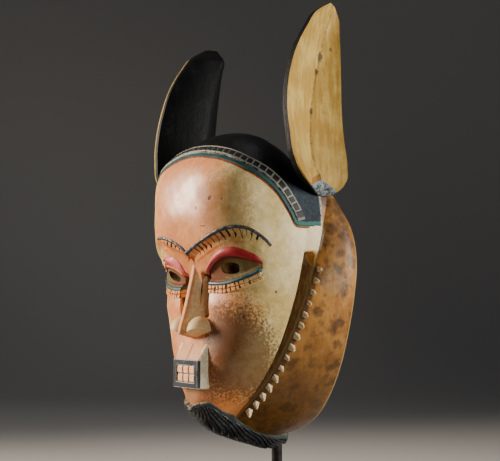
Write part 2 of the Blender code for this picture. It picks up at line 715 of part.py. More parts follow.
def combine(target, tool, operation):
    """Apply one exact Boolean with a tool that is then removed."""
    step = target.modifiers.new(tool.name, "BOOLEAN")
    step.operation = operation
    step.solver = "EXACT"
    step.object = tool
    graph = bpy.context.evaluated_depsgraph_get()
    graph.update()
    mesh = bpy.data.meshes.new_from_object(target.evaluated_get(graph))
    target.modifiers.remove(step)
    old = target.data
    target.data = mesh
    bpy.data.meshes.remove(old)
    bpy.data.objects.remove(tool)


def material(name, colour, roughness, metallic=0.0):
    finish = bpy.data.materials.new(name)
    finish.use_nodes = True
    shader = finish.node_tree.nodes["Principled BSDF"]
    shader.inputs["Base Color"].default_value = (*colour, 1)
    shader.inputs["Roughness"].default_value = roughness
    shader.inputs["Metallic"].default_value = metallic
    finish.diffuse_color = (*colour, 1)
    return finish


MASK_ORIGIN = np.array([0.0, 0.0, FOOT_THICKNESS + LIFT - BEARD_LOW_Z * UNIT])
ROD_Y = RIM_Y * UNIT - ROD_FROM_RIM


def make_mask():
    mask = joined("mask", [head_block()], MASK_ORIGIN)
    forms = [nose(), mouth_block(), beard(), ear(1), ear(-1), hair_band()]
    for side in (1, -1):
        forms.append(lid(side))
        forms.append(ridge(BROW[side][1:], BROW_WIDTH, RIDGE_HEIGHT / UNIT, 16, side))
        forms.append(ridge(LOWER_RIDGE[side], LOWER_RIDGE_WIDTH, RIDGE_HEIGHT / UNIT, 10, side))
    for form in forms:
        combine(mask, joined("form", [form], MASK_ORIGIN), "UNION")
    combine(mask, joined("hollow", [hollow_block()], MASK_ORIGIN), "DIFFERENCE")
    combine(mask, joined("serration", serration(), MASK_ORIGIN), "UNION")
    for side in (1, -1):
        combine(mask, joined("eye", [eye_cut(side)], MASK_ORIGIN), "DIFFERENCE")
        combine(mask, joined("pupil", [pupil_cut(side)], MASK_ORIGIN), "DIFFERENCE")
    combine(mask, rod_notch(), "DIFFERENCE")
    combine(mask, joined("frame", [mouth_frame()] + teeth(), MASK_ORIGIN), "UNION")
    mask.data.materials.clear()
    mask.data.materials.append(material("painted_wood", (0.62, 0.42, 0.26), 0.45))
    return mask


def cylinder(name, diameter, length, sides=ROD_SIDES):
    """A closed cylinder along z, standing on the origin."""
    mesh = bpy.data.meshes.new(name)
    work = bmesh.new()
    bmesh.ops.create_cone(work, cap_ends=True, segments=sides, radius1=diameter / 2, radius2=diameter / 2,
                          depth=length)
    bmesh.ops.translate(work, verts=work.verts, vec=(0, 0, length / 2))
    work.to_mesh(mesh)
    work.free()
    piece = bpy.data.objects.new(name, mesh)
    bpy.context.collection.objects.link(piece)
    return piece


def rod_notch():
    """The notch in the tail of the beard and the rim, open to the back, in which the rod stands."""
    low = MASK_ORIGIN[2] + (BEARD_LOW_Z - NOTCH_PAST) * UNIT
    high = MASK_ORIGIN[2] + NOTCH_TOP_Z * UNIT
    radius = ROD_DIAMETER / 2 + CLEARANCE
    turns = np.linspace(math.pi, 2 * math.pi, ROD_SIDES // 2 + 1)
    outline = [(radius * math.cos(turn), ROD_Y + radius * math.sin(turn)) for turn in turns]
    back = RIM_Y * UNIT + 2 * ROD_FROM_RIM
    outline += [(radius, back), (-radius, back)]
    shell = Shell()
    shell.tube([[(x / UNIT, y / UNIT, (z - MASK_ORIGIN[2]) / UNIT) for x, y in outline]
                for z in (low, high)])
    return joined("notch", [shell], MASK_ORIGIN)


def roof_over_rod(mask):
    """The lowest point of the hollow's roof above the crossbar."""
    start = MASK_ORIGIN[2] + AXIS_Z * UNIT
    lowest = math.inf
    for x in np.linspace(-CROSSBAR_LENGTH / 2, CROSSBAR_LENGTH / 2, 13):
        for y in np.linspace(-CROSSBAR_DIAMETER / 2, CROSSBAR_DIAMETER / 2, 5):
            hit, place, _, _ = mask.ray_cast((x, ROD_Y + y, start), (0, 0, 1))
            if hit:
                lowest = min(lowest, place.z)
    return lowest


def make_rod(mask):
    """The rod that stands in the foot, with the crossbar that bears under the roof of the hollow."""
    top = roof_over_rod(mask) - CLEARANCE
    rod = cylinder("stand_rod", ROD_DIAMETER, top - CROSSBAR_DIAMETER / 2 - ROD_RECESS)
    rod.data.transform(Matrix.Translation((0, ROD_Y, ROD_RECESS)))
    bar = cylinder("crossbar", CROSSBAR_DIAMETER, CROSSBAR_LENGTH)
    turn = Matrix.Rotation(math.pi / 2, 4, "Y")
    bar.data.transform(Matrix.Translation((-CROSSBAR_LENGTH / 2, ROD_Y, top - CROSSBAR_DIAMETER / 2)) @ turn)
    combine(rod, bar, "UNION")
    rod.data.materials.clear()
    rod.data.materials.append(material("black_steel", (0.03, 0.03, 0.032), 0.4, 0.8))
    rod.data.shade_smooth()
    rod.data.set_sharp_from_angle(angle=math.radians(40))


def make_foot():
    """The steel plate that the rod stands in."""
    mesh = bpy.data.meshes.new("stand_foot")
    work = bmesh.new()
    bmesh.ops.create_cube(work, size=1)
    bmesh.ops.scale(work, verts=work.verts, vec=(FOOT_WIDTH, FOOT_DEPTH, FOOT_THICKNESS))
    bmesh.ops.translate(work, verts=work.verts, vec=(0, 0, FOOT_THICKNESS / 2))
    upper = [edge for edge in work.edges if max(v.co.z for v in edge.verts) > FOOT_THICKNESS / 2]
    bmesh.ops.bevel(work, geom=upper, offset=FOOT_EDGE, segments=2, affect="EDGES", clamp_overlap=True)
    work.to_mesh(mesh)
    work.free()
    foot = bpy.data.objects.new("stand_foot", mesh)
    bpy.context.collection.objects.link(foot)
    bore = cylinder("bore", ROD_DIAMETER + 2 * CLEARANCE, 3 * FOOT_THICKNESS)
    bore.data.transform(Matrix.Translation((0, ROD_Y, -FOOT_THICKNESS)))
    combine(foot, bore, "DIFFERENCE")
    foot.data.materials.clear()
    foot.data.materials.append(material("black_plate", (0.03, 0.03, 0.032), 0.45, 0.8))


# The old objects go first
for old in list(bpy.data.objects):
    bpy.data.objects.remove(old)

make_rod(make_mask())
make_foot()
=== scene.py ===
"""The looks of the carved mask: its finer carving, paint and wear, the stand's finish, light and camera.

The carving is worked out in carving units, of which the head is 281 tall, so one is a
millimetre. x runs to the mask's own left, y runs backwards and z runs up, and the point 0, 0, 0
lies inside the head at the level where the brows meet.
"""

import math

import bmesh
import bpy
import numpy as np
from mathutils import Matrix, Vector


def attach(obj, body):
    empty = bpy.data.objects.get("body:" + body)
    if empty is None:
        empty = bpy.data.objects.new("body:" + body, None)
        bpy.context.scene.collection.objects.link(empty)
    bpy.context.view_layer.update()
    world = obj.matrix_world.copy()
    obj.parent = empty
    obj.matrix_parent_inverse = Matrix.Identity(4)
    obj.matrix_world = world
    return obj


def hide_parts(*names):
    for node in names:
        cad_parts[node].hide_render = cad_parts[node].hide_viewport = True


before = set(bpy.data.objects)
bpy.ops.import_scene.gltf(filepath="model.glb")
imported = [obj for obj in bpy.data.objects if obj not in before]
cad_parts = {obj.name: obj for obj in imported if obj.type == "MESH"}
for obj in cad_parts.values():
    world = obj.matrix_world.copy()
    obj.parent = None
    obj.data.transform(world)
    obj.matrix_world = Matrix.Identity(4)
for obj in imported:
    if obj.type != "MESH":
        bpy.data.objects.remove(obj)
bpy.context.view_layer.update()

# Sizes in metres
HEAD_HEIGHT = 0.281
UNIT = HEAD_HEIGHT / 281
WALL = 0.016
RIM_WALL = 0.013
GROOVE_DEPTH = 0.015
PUPIL_WIDTH = 0.019
PUPIL_HEIGHT = 0.0102
EAR_THICKNESS = 0.0075
SERRATION_PITCH = 0.010
ROD_DIAMETER = 0.010
CLEARANCE = 0.0003
ROD_Y = 0.031
MASK_ORIGIN = np.array([0.0, 0.0, 0.252])

# The head: half width, front and rear of its level slices, and how square each slice is
RIM_Y = 38.0
AXIS_Z = -14.0
CROWN_Z = 111.0
CHIN_Z = -165.0
BEARD_LOW_Z = -184.0
HEAD_HALF = [(-165, 4), (-158, 16), (-150, 26), (-140, 36), (-124, 49), (-100, 63), (-75, 73),
             (-45, 80), (-14, 83), (10, 84), (30, 83), (50, 80), (66, 75), (80, 67), (95, 52), (105, 32),
             (109.5, 14), (111, 2)]
HEAD_FRONT = [(-165, -20), (-158, -45), (-150, -60), (-140, -67), (-124, -69), (-95, -68), (-66, -67),
              (-40, -69), (-14, -73), (0, -77), (15, -81), (30, -84), (50, -84), (66, -81), (80, -75),
              (92, -66), (102, -53), (108, -39), (111, -24)]
HEAD_REAR = [(-165, 60), (30, 60), (45, 50), (56, 36), (70, 24), (85, 12), (98, -1), (107, -11), (111, -19)]
HEAD_SQUARENESS = [(-165, 2.0), (-140, 2.1), (-124, 2.6), (-100, 3.2), (-50, 3.5), (-14, 3.9), (10, 3.6),
                   (30, 3.2), (66, 2.7), (111, 2.1)]
RIM = [(0, -170), (28.4, -162), (50, -148), (65.5, -128), (79.4, -100), (88, -73), (95.4, -41), (98.6, -14),
       (96.6, 6), (88, 27), (75, 40), (55, 48), (28, 54), (0, 56)]
EDGE_Y, EDGE_LEAN = -13.0, 0.172
COLLAR_Y, COLLAR_LEAN = 1.0, 0.27
COLLAR_STEP = 1.5
COLLAR_BULGE = 6.0
GROOVE_TOP = (-6.0, -1.0)
GROOVE_FACET = 14.0
WALL_RISE = 12.0
GROOVE_TAPER = 0.22
DOME = (20, 70)
COLLAR_DOME = (20, 60)
CHIN_EXTRA = 8.0
# How far a cutting shape runs past what it cuts
PAST = 6.0

# Carved lines of the face as x and z: side 1 is the mask's own left and side -1 its own right
BROW = {1: [(0, -3), (8, 0.5), (16.3, 3.4), (32.3, 9), (45.2, 14), (54.1, 16.6), (61.2, 17.4), (67.1, 16.2),
            (72, 11.8), (75.1, 6.8), (77.2, 0.8)],
        -1: [(0, -3), (3.3, 0.8), (12.2, 6.3), (21.8, 10.1), (31.8, 12.3), (41, 12.4), (50, 10.6),
             (60, 6), (68, 0), (73, -6)]}
LID_TOP = {1: [(15.8, -24.5), (20, -16.4), (26, -10), (34.6, -4), (42.6, 0), (49.7, 1.8), (55.6, 1.8),
               (60.5, 0.4), (66.1, -2.4), (70.6, -6.2), (73, -11)],
           -1: [(13.8, -25), (16, -17.5), (19.7, -10.4), (27.1, -4.8), (37.7, -3), (48, -4), (58, -7),
                (66, -10), (72, -14)]}
LID_LOW = {1: [(15.8, -26), (18.5, -21.6), (25.1, -15.8), (33.2, -11.4), (41, -8.8), (48.2, -7.8), (54.8, -8),
               (60.6, -8.8), (66, -10.6), (73, -13.6)],
           -1: [(13.8, -28), (21.9, -23), (33.8, -17.6), (45, -14.6), (54.6, -13.6), (64, -14), (72, -16)]}
EYE_LOW = {1: [(17.5, -26.8), (32, -27.2), (45, -26.4), (53, -24.8), (61, -22), (72, -15.8)],
           -1: [(15.5, -30), (24, -30.6), (39, -29.8), (50, -27.6), (61, -24.4), (70, -20)]}
LOWER_RIDGE = {1: [(19, -29.6), (31.5, -30.3), (42.8, -29.8), (52.3, -28), (60.3, -25.2), (67.6, -21.6),
                   (72, -18.2)],
               -1: [(15.5, -33.2), (24.1, -34), (39, -33.2), (50, -31), (60, -28), (68, -24)]}
HAIRLINE = [(0, -73.3, 83.2), (18.5, -73.3, 81.8), (32.6, -72.1, 79.1), (43.4, -70.5, 76.6),
            (54.5, -67.6, 72.4),
            (63.5, -63.2, 67.5), (69, -57.6, 63.3), (72.9, -50.9, 58.6), (75.6, -43, 52.4), (77.6, -36, 45.7),
            (79, -30.4, 38.1), (80.3, -24.5, 29.3), (81.3, -21.1, 22.2)]
TEMPLE_LINE = [(80.3, -24.5, 29.3), (81.1, -21.6, 23), (81.8, -18.8, 20.2), (82.5, -13, 19.7),
               (83.1, -1.7, 20.1),
               (83.5, 8.3, 20.8)]
# Where each pupil's middle is, how wide and how tall it is beside the sizes above, and its slant
PUPIL = {1: (43.8, -16.5, 1.0, 1.0, 0.0), -1: (39.0, -21.4, 1.2, 0.75, 0.30)}
SOCKET_DEPTH = 5.0
EYE_DEPTH = 3.0
CREASE_DEPTH = 9.0

# The nose, the mouth, the ears and the beard
NOSE = [(1, -73.5, 4), (-5, -70, 6), (-11, -68.4, 8), (-21.5, -70, 11), (-33, -73, 12.6), (-44, -75.8, 13.6),
        (-57, -79.5, 14.5), (-68, -83, 15), (-73, -84, 15)]
NOSE_ROOT_Y = -56.0
MOUTH_TOP_Z, MOUTH_LOW_Z = -97.0, -119.5
MOUTH_HALF = 17.0
MOUTH_FRONT_Y = -75.4
MOUTH_ROOT_FLARE = 9.5
MOUTH_ROOT_Y = -56.0
LIP_TOP = (-80.0, -66.0, 20.5)
MOUTH_BOTTOM = (-121.0, -72.0, 17.0)
BEARD_ROOT_Y = -58.0
EAR_FRONT = [(48, 84, 6), (53, 93, -10), (60, 101, -27), (73, 103, -38), (97, 102, -43), (122, 99, -43),
             (146, 97, -38.5), (172, 96.5, -29), (193, 96, -16), (209, 95, -3), (219, 93, 13)]
EAR_VALLEY = [(48, 84, 13), (53, 90, 7), (60, 92, 1), (73, 87, -2), (97, 83, -3), (122, 81.5, -1),
              (146, 81.5, 3), (172, 82.5, 9), (193, 84.5, 14), (209, 87.5, 18), (219, 90, 19)]
EAR_REAR = [(48, 84, 20), (53, 92, 24), (60, 98, 26), (73, 99.5, 26), (97, 98, 23.5), (122, 96, 23),
            (146, 94.5, 24), (172, 92.5, 25.5), (193, 90, 27), (209, 87.5, 28.5), (219, 88, 23)]
BEARD = [(-72, -136, -140, 5), (-69, -134, -143.5, 12), (-64, -131.5, -149, 16.5), (-46, -139, -162, 20),
         (-28, -148.5, -169.5, 20.5), (-5, -157, -177, 18.5), (18, -165, -183.5, 14), (37.5, -169.5, -182, 9)]
NOTCH_TOP_Z = -140.0


def curve(knots, place):
    """Read a smooth curve through (place, value) knots; past its ends the value stays."""
    knots = np.array(knots, float)
    at, value = knots[:, 0], knots[:, 1]
    slope = np.diff(value) / np.diff(at)
    span = np.diff(at)
    tangent = np.empty(len(at))
    tangent[0], tangent[-1] = slope[0], slope[-1]
    tangent[1:-1] = (slope[:-1] * span[1:] + slope[1:] * span[:-1]) / (span[:-1] + span[1:])
    place = np.clip(np.asarray(place, float), at[0], at[-1])
    i = np.clip(np.searchsorted(at, place, side="right") - 1, 0, len(at) - 2)
    t = (place - at[i]) / span[i]
    return ((2 * t**3 - 3 * t**2 + 1) * value[i] + (t**3 - 2 * t**2 + t) * span[i] * tangent[i]
            + (3 * t**2 - 2 * t**3) * value[i + 1] + (t**3 - t**2) * span[i] * tangent[i + 1])


def ramp(value, low, high):
    """Rise smoothly from 0 at low to 1 at high."""
    t = np.clip((value - low) / (high - low), 0, 1)
    return t * t * (3 - 2 * t)


def unit(way):
    return way / np.linalg.norm(way, axis=-1, keepdims=True)


def edge_y(z):
    return EDGE_Y + EDGE_LEAN * (z - AXIS_Z)


def collar_y(z):
    return COLLAR_Y + COLLAR_LEAN * (z - AXIS_Z)


def groove_share(z):
    """The groove runs below the temples: 1 there and 0 above."""
    return 1 - ramp(z, *GROOVE_TOP)


def groove_width(z):
    """How much of the gap the groove's floor takes: it starts at a point at the temple."""
    return np.clip((GROOVE_TOP[1] - z) / GROOVE_FACET, 0, 1)


def slice_sizes(z):
    """Half width, front, middle, rear and squareness of the head's level slice at z."""
    half = np.maximum(curve(HEAD_HALF, z), 0.01)
    front = curve(HEAD_FRONT, z)
    rear = curve(HEAD_REAR, z)
    dome = ramp(z, *DOME)
    middle = RIM_Y * (1 - dome) + dome * (front + rear) / 2
    return half, front, middle, rear, curve(HEAD_SQUARENESS, z)


def in_head(point):
    x, y, z = point[..., 0], point[..., 1], point[..., 2]
    half, front, middle, rear, square = slice_sizes(z)
    reach = np.where(y < middle, middle - front, np.maximum(rear - middle, 0.01))
    inside = (np.abs(x) / half) ** square + (np.abs(y - middle) / reach) ** square < 1
    return inside & (z < CROWN_Z) & (z > CHIN_Z)


def in_hollow(point):
    """The inside of the mask: the head less its wall, and less the groove where that runs."""
    x, y, z = point[..., 0], point[..., 1], point[..., 2]
    wall = WALL / UNIT
    half, front, middle, rear, square = slice_sizes(z)
    half = np.maximum(half - wall - groove_share(z - WALL_RISE) * GROOVE_DEPTH / UNIT, 0.01)
    front_wall = wall + SOCKET_DEPTH + EYE_DEPTH
    reach = np.where(y < middle, middle - front - front_wall, rear - wall - middle)
    inside = (np.abs(x) / half) ** square + (np.abs(y - middle) / np.maximum(reach, 0.01)) ** square < 1
    return inside & (z < CROWN_Z - wall) & (z > CHIN_Z + wall + CHIN_EXTRA)


CENTRE = np.array([0.0, RIM_Y, AXIS_Z])
SPREAD = np.array([97.0, 113.0, 150.0])


def leave(form, way):
    """Where rays from the middle of the rim leave a form, found by halving."""
    near = np.zeros(way.shape[:-1])
    far = np.full(way.shape[:-1], 260.0)
    for _ in range(26):
        mid = (near + far) / 2
        inside = form(CENTRE + way * mid[..., None])
        near = np.where(inside, mid, near)
        far = np.where(inside, far, mid)
    return CENTRE + way * ((near + far) / 2)[..., None]


def surface(form, tilt, turn):
    """Points of a form, by their tilt from straight forward and their turn around that axis."""
    way = np.stack([np.sin(tilt) * np.cos(turn), -np.cos(tilt), np.sin(tilt) * np.sin(turn)], -1)
    return leave(form, unit(way * SPREAD))


def tilt_where(form, limit, turn):
    """The tilt at which a form's surface crosses the plane y = limit(z)."""
    low = np.full(turn.shape, 0.3)
    high = np.full(turn.shape, 1.56)
    for _ in range(20):
        mid = (low + high) / 2
        point = surface(form, mid, turn)
        before = point[..., 1] < limit(point[..., 2])
        low = np.where(before, mid, low)
        high = np.where(before, high, mid)
    return (low + high) / 2


def disc(columns, rows):
    """A grid of nodes laid over a disc: each node's radius and turn."""
    s, t = np.meshgrid(np.linspace(-1, 1, columns + 1), np.linspace(-1, 1, rows + 1))
    p = s * np.sqrt(1 - t * t / 2)
    q = t * np.sqrt(1 - s * s / 2)
    return np.hypot(p, q), np.arctan2(q, p)


def border(grid):
    """The nodes around a grid, anticlockwise from its lower left corner."""
    return np.concatenate([grid[0, :-1], grid[:-1, -1], grid[-1, :0:-1], grid[:0:-1, 0]])


def knife_marks(point):
    """The slight unevenness that hand tools leave."""
    x, y, z = point[..., 0], point[..., 1], point[..., 2]
    wide = np.sin(0.105 * x + 0.04 * z + 1.3) * np.sin(0.093 * z - 0.05 * y + 0.4)
    close = np.sin(0.31 * x - 0.12 * y) * np.sin(0.27 * z + 0.09 * x + 2.1)
    return 0.30 * wide + 0.10 * close


def face_relief(point):
    """What the front of the head loses or gains: sockets, the almond of the eye, the creases by the nose."""
    x, z = np.abs(point[..., 0]), point[..., 2]
    front = ramp(-point[..., 1], 20, 40)

    def line(knots):
        return np.where(point[..., 0] > 0, curve(knots[1], x), curve(knots[-1], x))

    under = ramp(line(BROW) - z, 0.0, 5.0)
    fade = ramp(z, -52, -26) * (1 - ramp(x, 62, 78))
    rise = -SOCKET_DEPTH * under * fade
    almond = ramp(z - line(EYE_LOW), -0.4, 1.4) * (1 - ramp(z - line(LID_LOW), 0.4, 1.8))
    rise = rise - EYE_DEPTH * almond * ramp(x, 16.5, 19.5) * (1 - ramp(x, 70, 73))
    crease = np.exp(-((x - 15.6) / 4.7) ** 6) * ramp(z, -62, -55) * (1 - ramp(z, -27, -18))
    rise = rise - CREASE_DEPTH * crease
    return rise * front + knife_marks(point) * front


def face_points(columns, rows):
    """The front of the head out to the face's edge."""
    radius, turn = disc(columns, rows)
    table = np.linspace(-math.pi, math.pi, 361)
    tilt = radius * np.interp(turn, table, tilt_where(in_head, edge_y, table))
    point = surface(in_head, tilt, turn)
    return point + unit(point - CENTRE) * face_relief(point)[..., None], border(turn)


def rim_points(turn, inset=0.0):
    """The rim of the hollow back, in its plane."""
    knots = np.array(RIM, float)
    x = np.concatenate([knots[:, 0], -knots[-2::-1, 0]])
    z = np.concatenate([knots[:, 1], knots[-2::-1, 1]]) - AXIS_Z
    at = np.arctan2(z / SPREAD[2], x / SPREAD[0])
    at[len(knots):] = np.mod(at[len(knots):], 2 * math.pi)
    radius = np.hypot(x / SPREAD[0], z / SPREAD[2])
    turn = np.mod(turn + math.pi / 2, 2 * math.pi) - math.pi / 2
    r = curve(list(zip(at, radius)), turn)
    x, z = r * np.cos(turn) * SPREAD[0], r * np.sin(turn) * SPREAD[2]
    keep = 1 - inset / np.hypot(x, z)
    return np.stack([x * keep, np.full(turn.shape, RIM_Y), AXIS_Z + z * keep], -1)


def outward(point):
    """Directions in the level of the rim's plane, square to the loop around the face."""
    way = np.stack([point[:, 0], 0 * point[:, 0], (point[:, 2] - AXIS_Z) * (SPREAD[0] / SPREAD[2]) ** 2], -1)
    return unit(way)


def collar_rings(turn, collar_rows):
    """The loops behind the face's edge: the groove, the collar and the rim."""
    tilt_edge = tilt_where(in_head, edge_y, turn)
    tilt_front = tilt_where(in_head, collar_y, turn)
    tilt_rim = tilt_where(in_head, lambda z: np.full(np.shape(z), RIM_Y - 0.01), turn)
    edge = surface(in_head, tilt_edge, turn)
    out = outward(edge)
    low, high = (math.sin(math.radians(angle)) for angle in COLLAR_DOME)
    dome = ramp(np.sin(turn), low, high)[:, None]
    front = edge + out * COLLAR_STEP
    front[:, 1] = collar_y(front[:, 2])
    front = front * (1 - dome) + surface(in_head, tilt_front, turn) * dome
    cut = groove_share(edge[:, 2])[:, None]
    floor = edge + (front - edge) * groove_width(edge[:, 2])[:, None]
    taper = (floor[:, 1] - edge[:, 1])[:, None] * np.array([0, GROOVE_TAPER, 0])
    rows = []
    for share, wall, way in ((1 / 3, edge, taper), (2 / 3, floor, -taper)):
        smooth = surface(in_head, tilt_edge + (tilt_front - tilt_edge) * share, turn)
        smooth += out * (1 - dome) * COLLAR_STEP * share
        rows.append(smooth * (1 - cut) + (wall - out * GROOVE_DEPTH / UNIT + way) * cut)
    rows.append(front)
    rim = rim_points(turn)
    last = surface(in_head, tilt_rim, turn)
    for i in range(1, collar_rows + 1):
        s = i / collar_rows
        side = front + (rim - front) * s + out * COLLAR_BULGE * 4 * s * (1 - s)
        over = surface(in_head, tilt_front + (tilt_rim - tilt_front) * s, turn) + (rim - last) * s
        rows.append(side * (1 - dome) + over * dome)
    return rows


class Shell:
    """Collects points and faces of one closed body, in carving units."""

    def __init__(self):
        self.points = []
        self.faces = []

    def add(self, points):
        first = len(self.points)
        self.points.extend(np.reshape(points, (-1, 3)).tolist())
        return np.arange(first, len(self.points)).reshape(np.shape(points)[:-1])

    def sheet(self, grid):
        for a, b in zip(grid[:-1], grid[1:]):
            self.faces.extend((a[j], a[j + 1], b[j + 1], b[j]) for j in range(len(a) - 1))

    def band(self, a, b):
        count = len(a)
        self.faces.extend((a[j], a[(j + 1) % count], b[(j + 1) % count], b[j]) for j in range(count))

    def fan(self, ring, points):
        """Close a ring with triangles around its middle."""
        middle = self.add(np.mean(points, axis=0)[None])[0]
        count = len(ring)
        self.faces.extend((ring[j], ring[(j + 1) % count], middle) for j in range(count))

    def tube(self, rings):
        """A closed body through a row of closed rings, fanned over at each end."""
        marks = [self.add(ring) for ring in rings]
        for a, b in zip(marks, marks[1:]):
            self.band(a, b)
        self.fan(marks[0][::-1], rings[0])
        self.fan(marks[-1], rings[-1])

    def mesh(self, name, joined=True):
        """A mesh in metres, with its faces pointing out; unless joined, its points keep their order."""
        place = np.array(self.points) * UNIT + MASK_ORIGIN
        mesh = bpy.data.meshes.new(name)
        mesh.from_pydata(place.tolist(), [], [tuple(int(i) for i in face) for face in self.faces])
        work = bmesh.new()
        work.from_mesh(mesh)
        if joined:
            bmesh.ops.remove_doubles(work, verts=work.verts, dist=1e-6)
        bmesh.ops.recalc_face_normals(work, faces=work.faces)
        work.to_mesh(mesh)
        work.free()
        return mesh


def carved(point, rise=0.0):
    """Bring points onto the carved head along the rays from the middle of the rim."""
    way = unit(point - CENTRE)
    bare = leave(in_head, way)
    return bare + way * (face_relief(bare) + rise)[..., None]


def face_at(x, z):
    """Points on the bare face seen straight from the front."""
    x, z = np.broadcast_arrays(np.asarray(x, float), np.asarray(z, float))
    half, front, middle, rear, square = slice_sizes(z)
    share = np.clip(1 - (np.abs(x) / half) ** square, 0, 1)
    return np.stack([x, middle - (middle - front) * share ** (1 / square), z], -1)


def lengths(line):
    return np.concatenate([[0], np.cumsum(np.linalg.norm(np.diff(line, axis=0), axis=1))])


def along(knots, count):
    """Evenly spaced points on the bare face along a line of (x, z) or (x, y, z) knots."""
    knots = np.array(knots, float)
    if knots.shape[1] == 2:
        knots = face_at(knots[:, 0], knots[:, 1])
    length = lengths(knots)
    place = np.linspace(0, length[-1], count)
    return np.stack([curve(list(zip(length, knots[:, k])), place) for k in range(3)], -1)


def across(line):
    """Directions over the surface, square to a line on it: downwards where the line runs to the left."""
    return unit(np.cross(np.gradient(line, axis=0), line - CENTRE))


def mirrored(points, side):
    return points * np.array([side, 1, 1])


def sided(name, side):
    return name + ("_left" if side > 0 else "_right")


def new_piece(mesh, finish, smooth=35):
    """An object of a finished mesh that rides on the stand and stands for the carved mask."""
    piece = bpy.data.objects.new(mesh.name, mesh)
    bpy.context.collection.objects.link(piece)
    mesh.materials.clear()
    mesh.materials.append(finish.material)
    mesh.shade_smooth()
    mesh.set_sharp_from_angle(angle=math.radians(smooth))
    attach(piece, "root")
    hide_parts("mask")
    return piece


def carving_place(mesh):
    """A mesh's points in carving units."""
    place = np.empty(len(mesh.vertices) * 3)
    mesh.vertices.foreach_get("co", place)
    return (place.reshape(-1, 3) - MASK_ORIGIN) / UNIT


def note(mesh, name, values, domain="POINT"):
    """Keep one number for each point of a mesh, which its finish reads."""
    made = mesh.attributes.new(name, "FLOAT", domain)
    made.data.foreach_set("value", np.asarray(values, np.float32).ravel())


def cut(mesh, tools, operation="DIFFERENCE"):
    """Cut closed meshes from a closed mesh, or join them to it."""
    target = bpy.data.objects.new("target", mesh)
    bpy.context.collection.objects.link(target)
    made = []
    for tool_mesh in tools:
        tool = bpy.data.objects.new("tool", tool_mesh)
        bpy.context.collection.objects.link(tool)
        made.append(tool)
        step = target.modifiers.new("cut", "BOOLEAN")
        step.operation = operation
        step.solver = "MANIFOLD"
        step.object = tool
    graph = bpy.context.evaluated_depsgraph_get()
    graph.update()
    result = bpy.data.meshes.new_from_object(target.evaluated_get(graph))
    name = mesh.name
    for one in made + [target]:
        bpy.data.objects.remove(one)
    bpy.data.meshes.remove(mesh)
    result.name = name
    return result


def between(rings, counts):
    """Fill the steps between closed rings with evenly spaced ones."""
    filled = [rings[0]]
    for a, b, count in zip(rings, rings[1:], counts):
        filled.extend(a + (b - a) * (i / count) for i in range(1, count + 1))
    return filled


def head_mesh(columns, rows, collar_rows, groove_steps):
    """The solid head and its collar, cut flat at the rim, before it is hollowed, pierced at the pupils and
    notched for the rod.
    """
    shell = Shell()
    face, turn = face_points(columns, rows)
    grid = shell.add(face)
    shell.sheet(grid)
    last = border(grid)
    rings = collar_rings(turn, collar_rows)
    first = border(face)
    steps = [groove_steps] * 3 + [1] * collar_rows
    for points in between([first] + rings, steps)[1:]:
        ring = shell.add(points)
        shell.band(last, ring)
        last = ring
    shell.fan(last, points)
    return shell.mesh("head")


def hollow_mesh(columns, rows):
    """What the carver takes out of the back."""
    shell = Shell()
    radius, turn = disc(columns, rows)
    table = np.linspace(-math.pi, math.pi, 181)
    edge = tilt_where(in_hollow, edge_y, table)
    point = surface(in_hollow, radius * np.interp(turn, table, edge), turn)
    point = point + unit(point - CENTRE) * (1.6 * knife_marks(point * 1.7))[..., None]
    grid = shell.add(point)
    shell.sheet(grid)
    turn = border(turn)
    mouth = rim_points(turn, RIM_WALL / UNIT)
    past = mouth + np.array([0, PAST, 0])
    ring, beyond = shell.add(mouth), shell.add(past)
    shell.band(border(grid), ring)
    shell.band(ring, beyond)
    shell.fan(beyond, past)
    return shell.mesh("hollow")


def pupil_mesh(side):
    """The hole that the wearer looks through, a rounded oblong."""
    turn = np.linspace(0, 2 * math.pi, 48, endpoint=False)
    wide = np.sign(np.cos(turn)) * np.abs(np.cos(turn)) ** 0.8
    tall = np.sign(np.sin(turn)) * np.abs(np.sin(turn)) ** 0.8
    middle, level, width, height, slant = PUPIL[side]
    x = PUPIL_WIDTH / UNIT / 2 * width * wide
    z = level + PUPIL_HEIGHT / UNIT / 2 * height * tall + slant * x
    x = side * (middle + x)
    shell = Shell()
    shell.tube([np.stack([x, np.full(48, y), z], -1) for y in (-92.0, -25.0)])
    return shell.mesh("pupil")


def notch_mesh():
    """The notch that the rod stands in, open to the back."""
    radius = (ROD_DIAMETER / 2 + CLEARANCE) / UNIT
    turn = np.linspace(math.pi, 2 * math.pi, 25)
    y = ROD_Y / UNIT
    outline = [(radius * math.cos(t), y + radius * math.sin(t)) for t in turn]
    outline += [(radius, y + 21), (-radius, y + 21)]
    shell = Shell()
    shell.tube([np.array([(x, y, z) for x, y in outline]) for z in (BEARD_LOW_Z - PAST, NOTCH_TOP_Z)])
    return shell.mesh("notch")


def swept(name, line, offsets, rise, root=-2.6, side=1):
    """A closed strip laid along a line on the head, whose height is rise(along it, across it)."""
    length = lengths(line)
    s, t = np.meshgrid(length, offsets, indexing="ij")
    over = across(line)
    place = line[:, None, :] + over[:, None, :] * t[..., None]
    height = rise(s, t, length[-1])
    top = carved(place, height)
    low = carved(place[:, ::-1][:, [0, -1]], np.full((len(line), 2), root))
    rings = np.concatenate([top, low], axis=1)
    shell = Shell()
    shell.tube(list(mirrored(rings, side)))
    mesh = shell.mesh(name, joined=False)
    s_all = np.concatenate([s, np.repeat(length[:, None], 2, 1)], 1)
    t_all = np.concatenate([t, np.stack([t[:, -1], t[:, 0]], 1)], 1)
    h_all = np.concatenate([height, np.full((len(line), 2), root)], 1)
    for label, values, ends in (("along", s_all / length[-1], (0, 1)), ("across", t_all, (t.mean(), t.mean())),
                                ("height", h_all, (0, 0))):
        note(mesh, label, np.concatenate([values.ravel(), ends]))
    return mesh


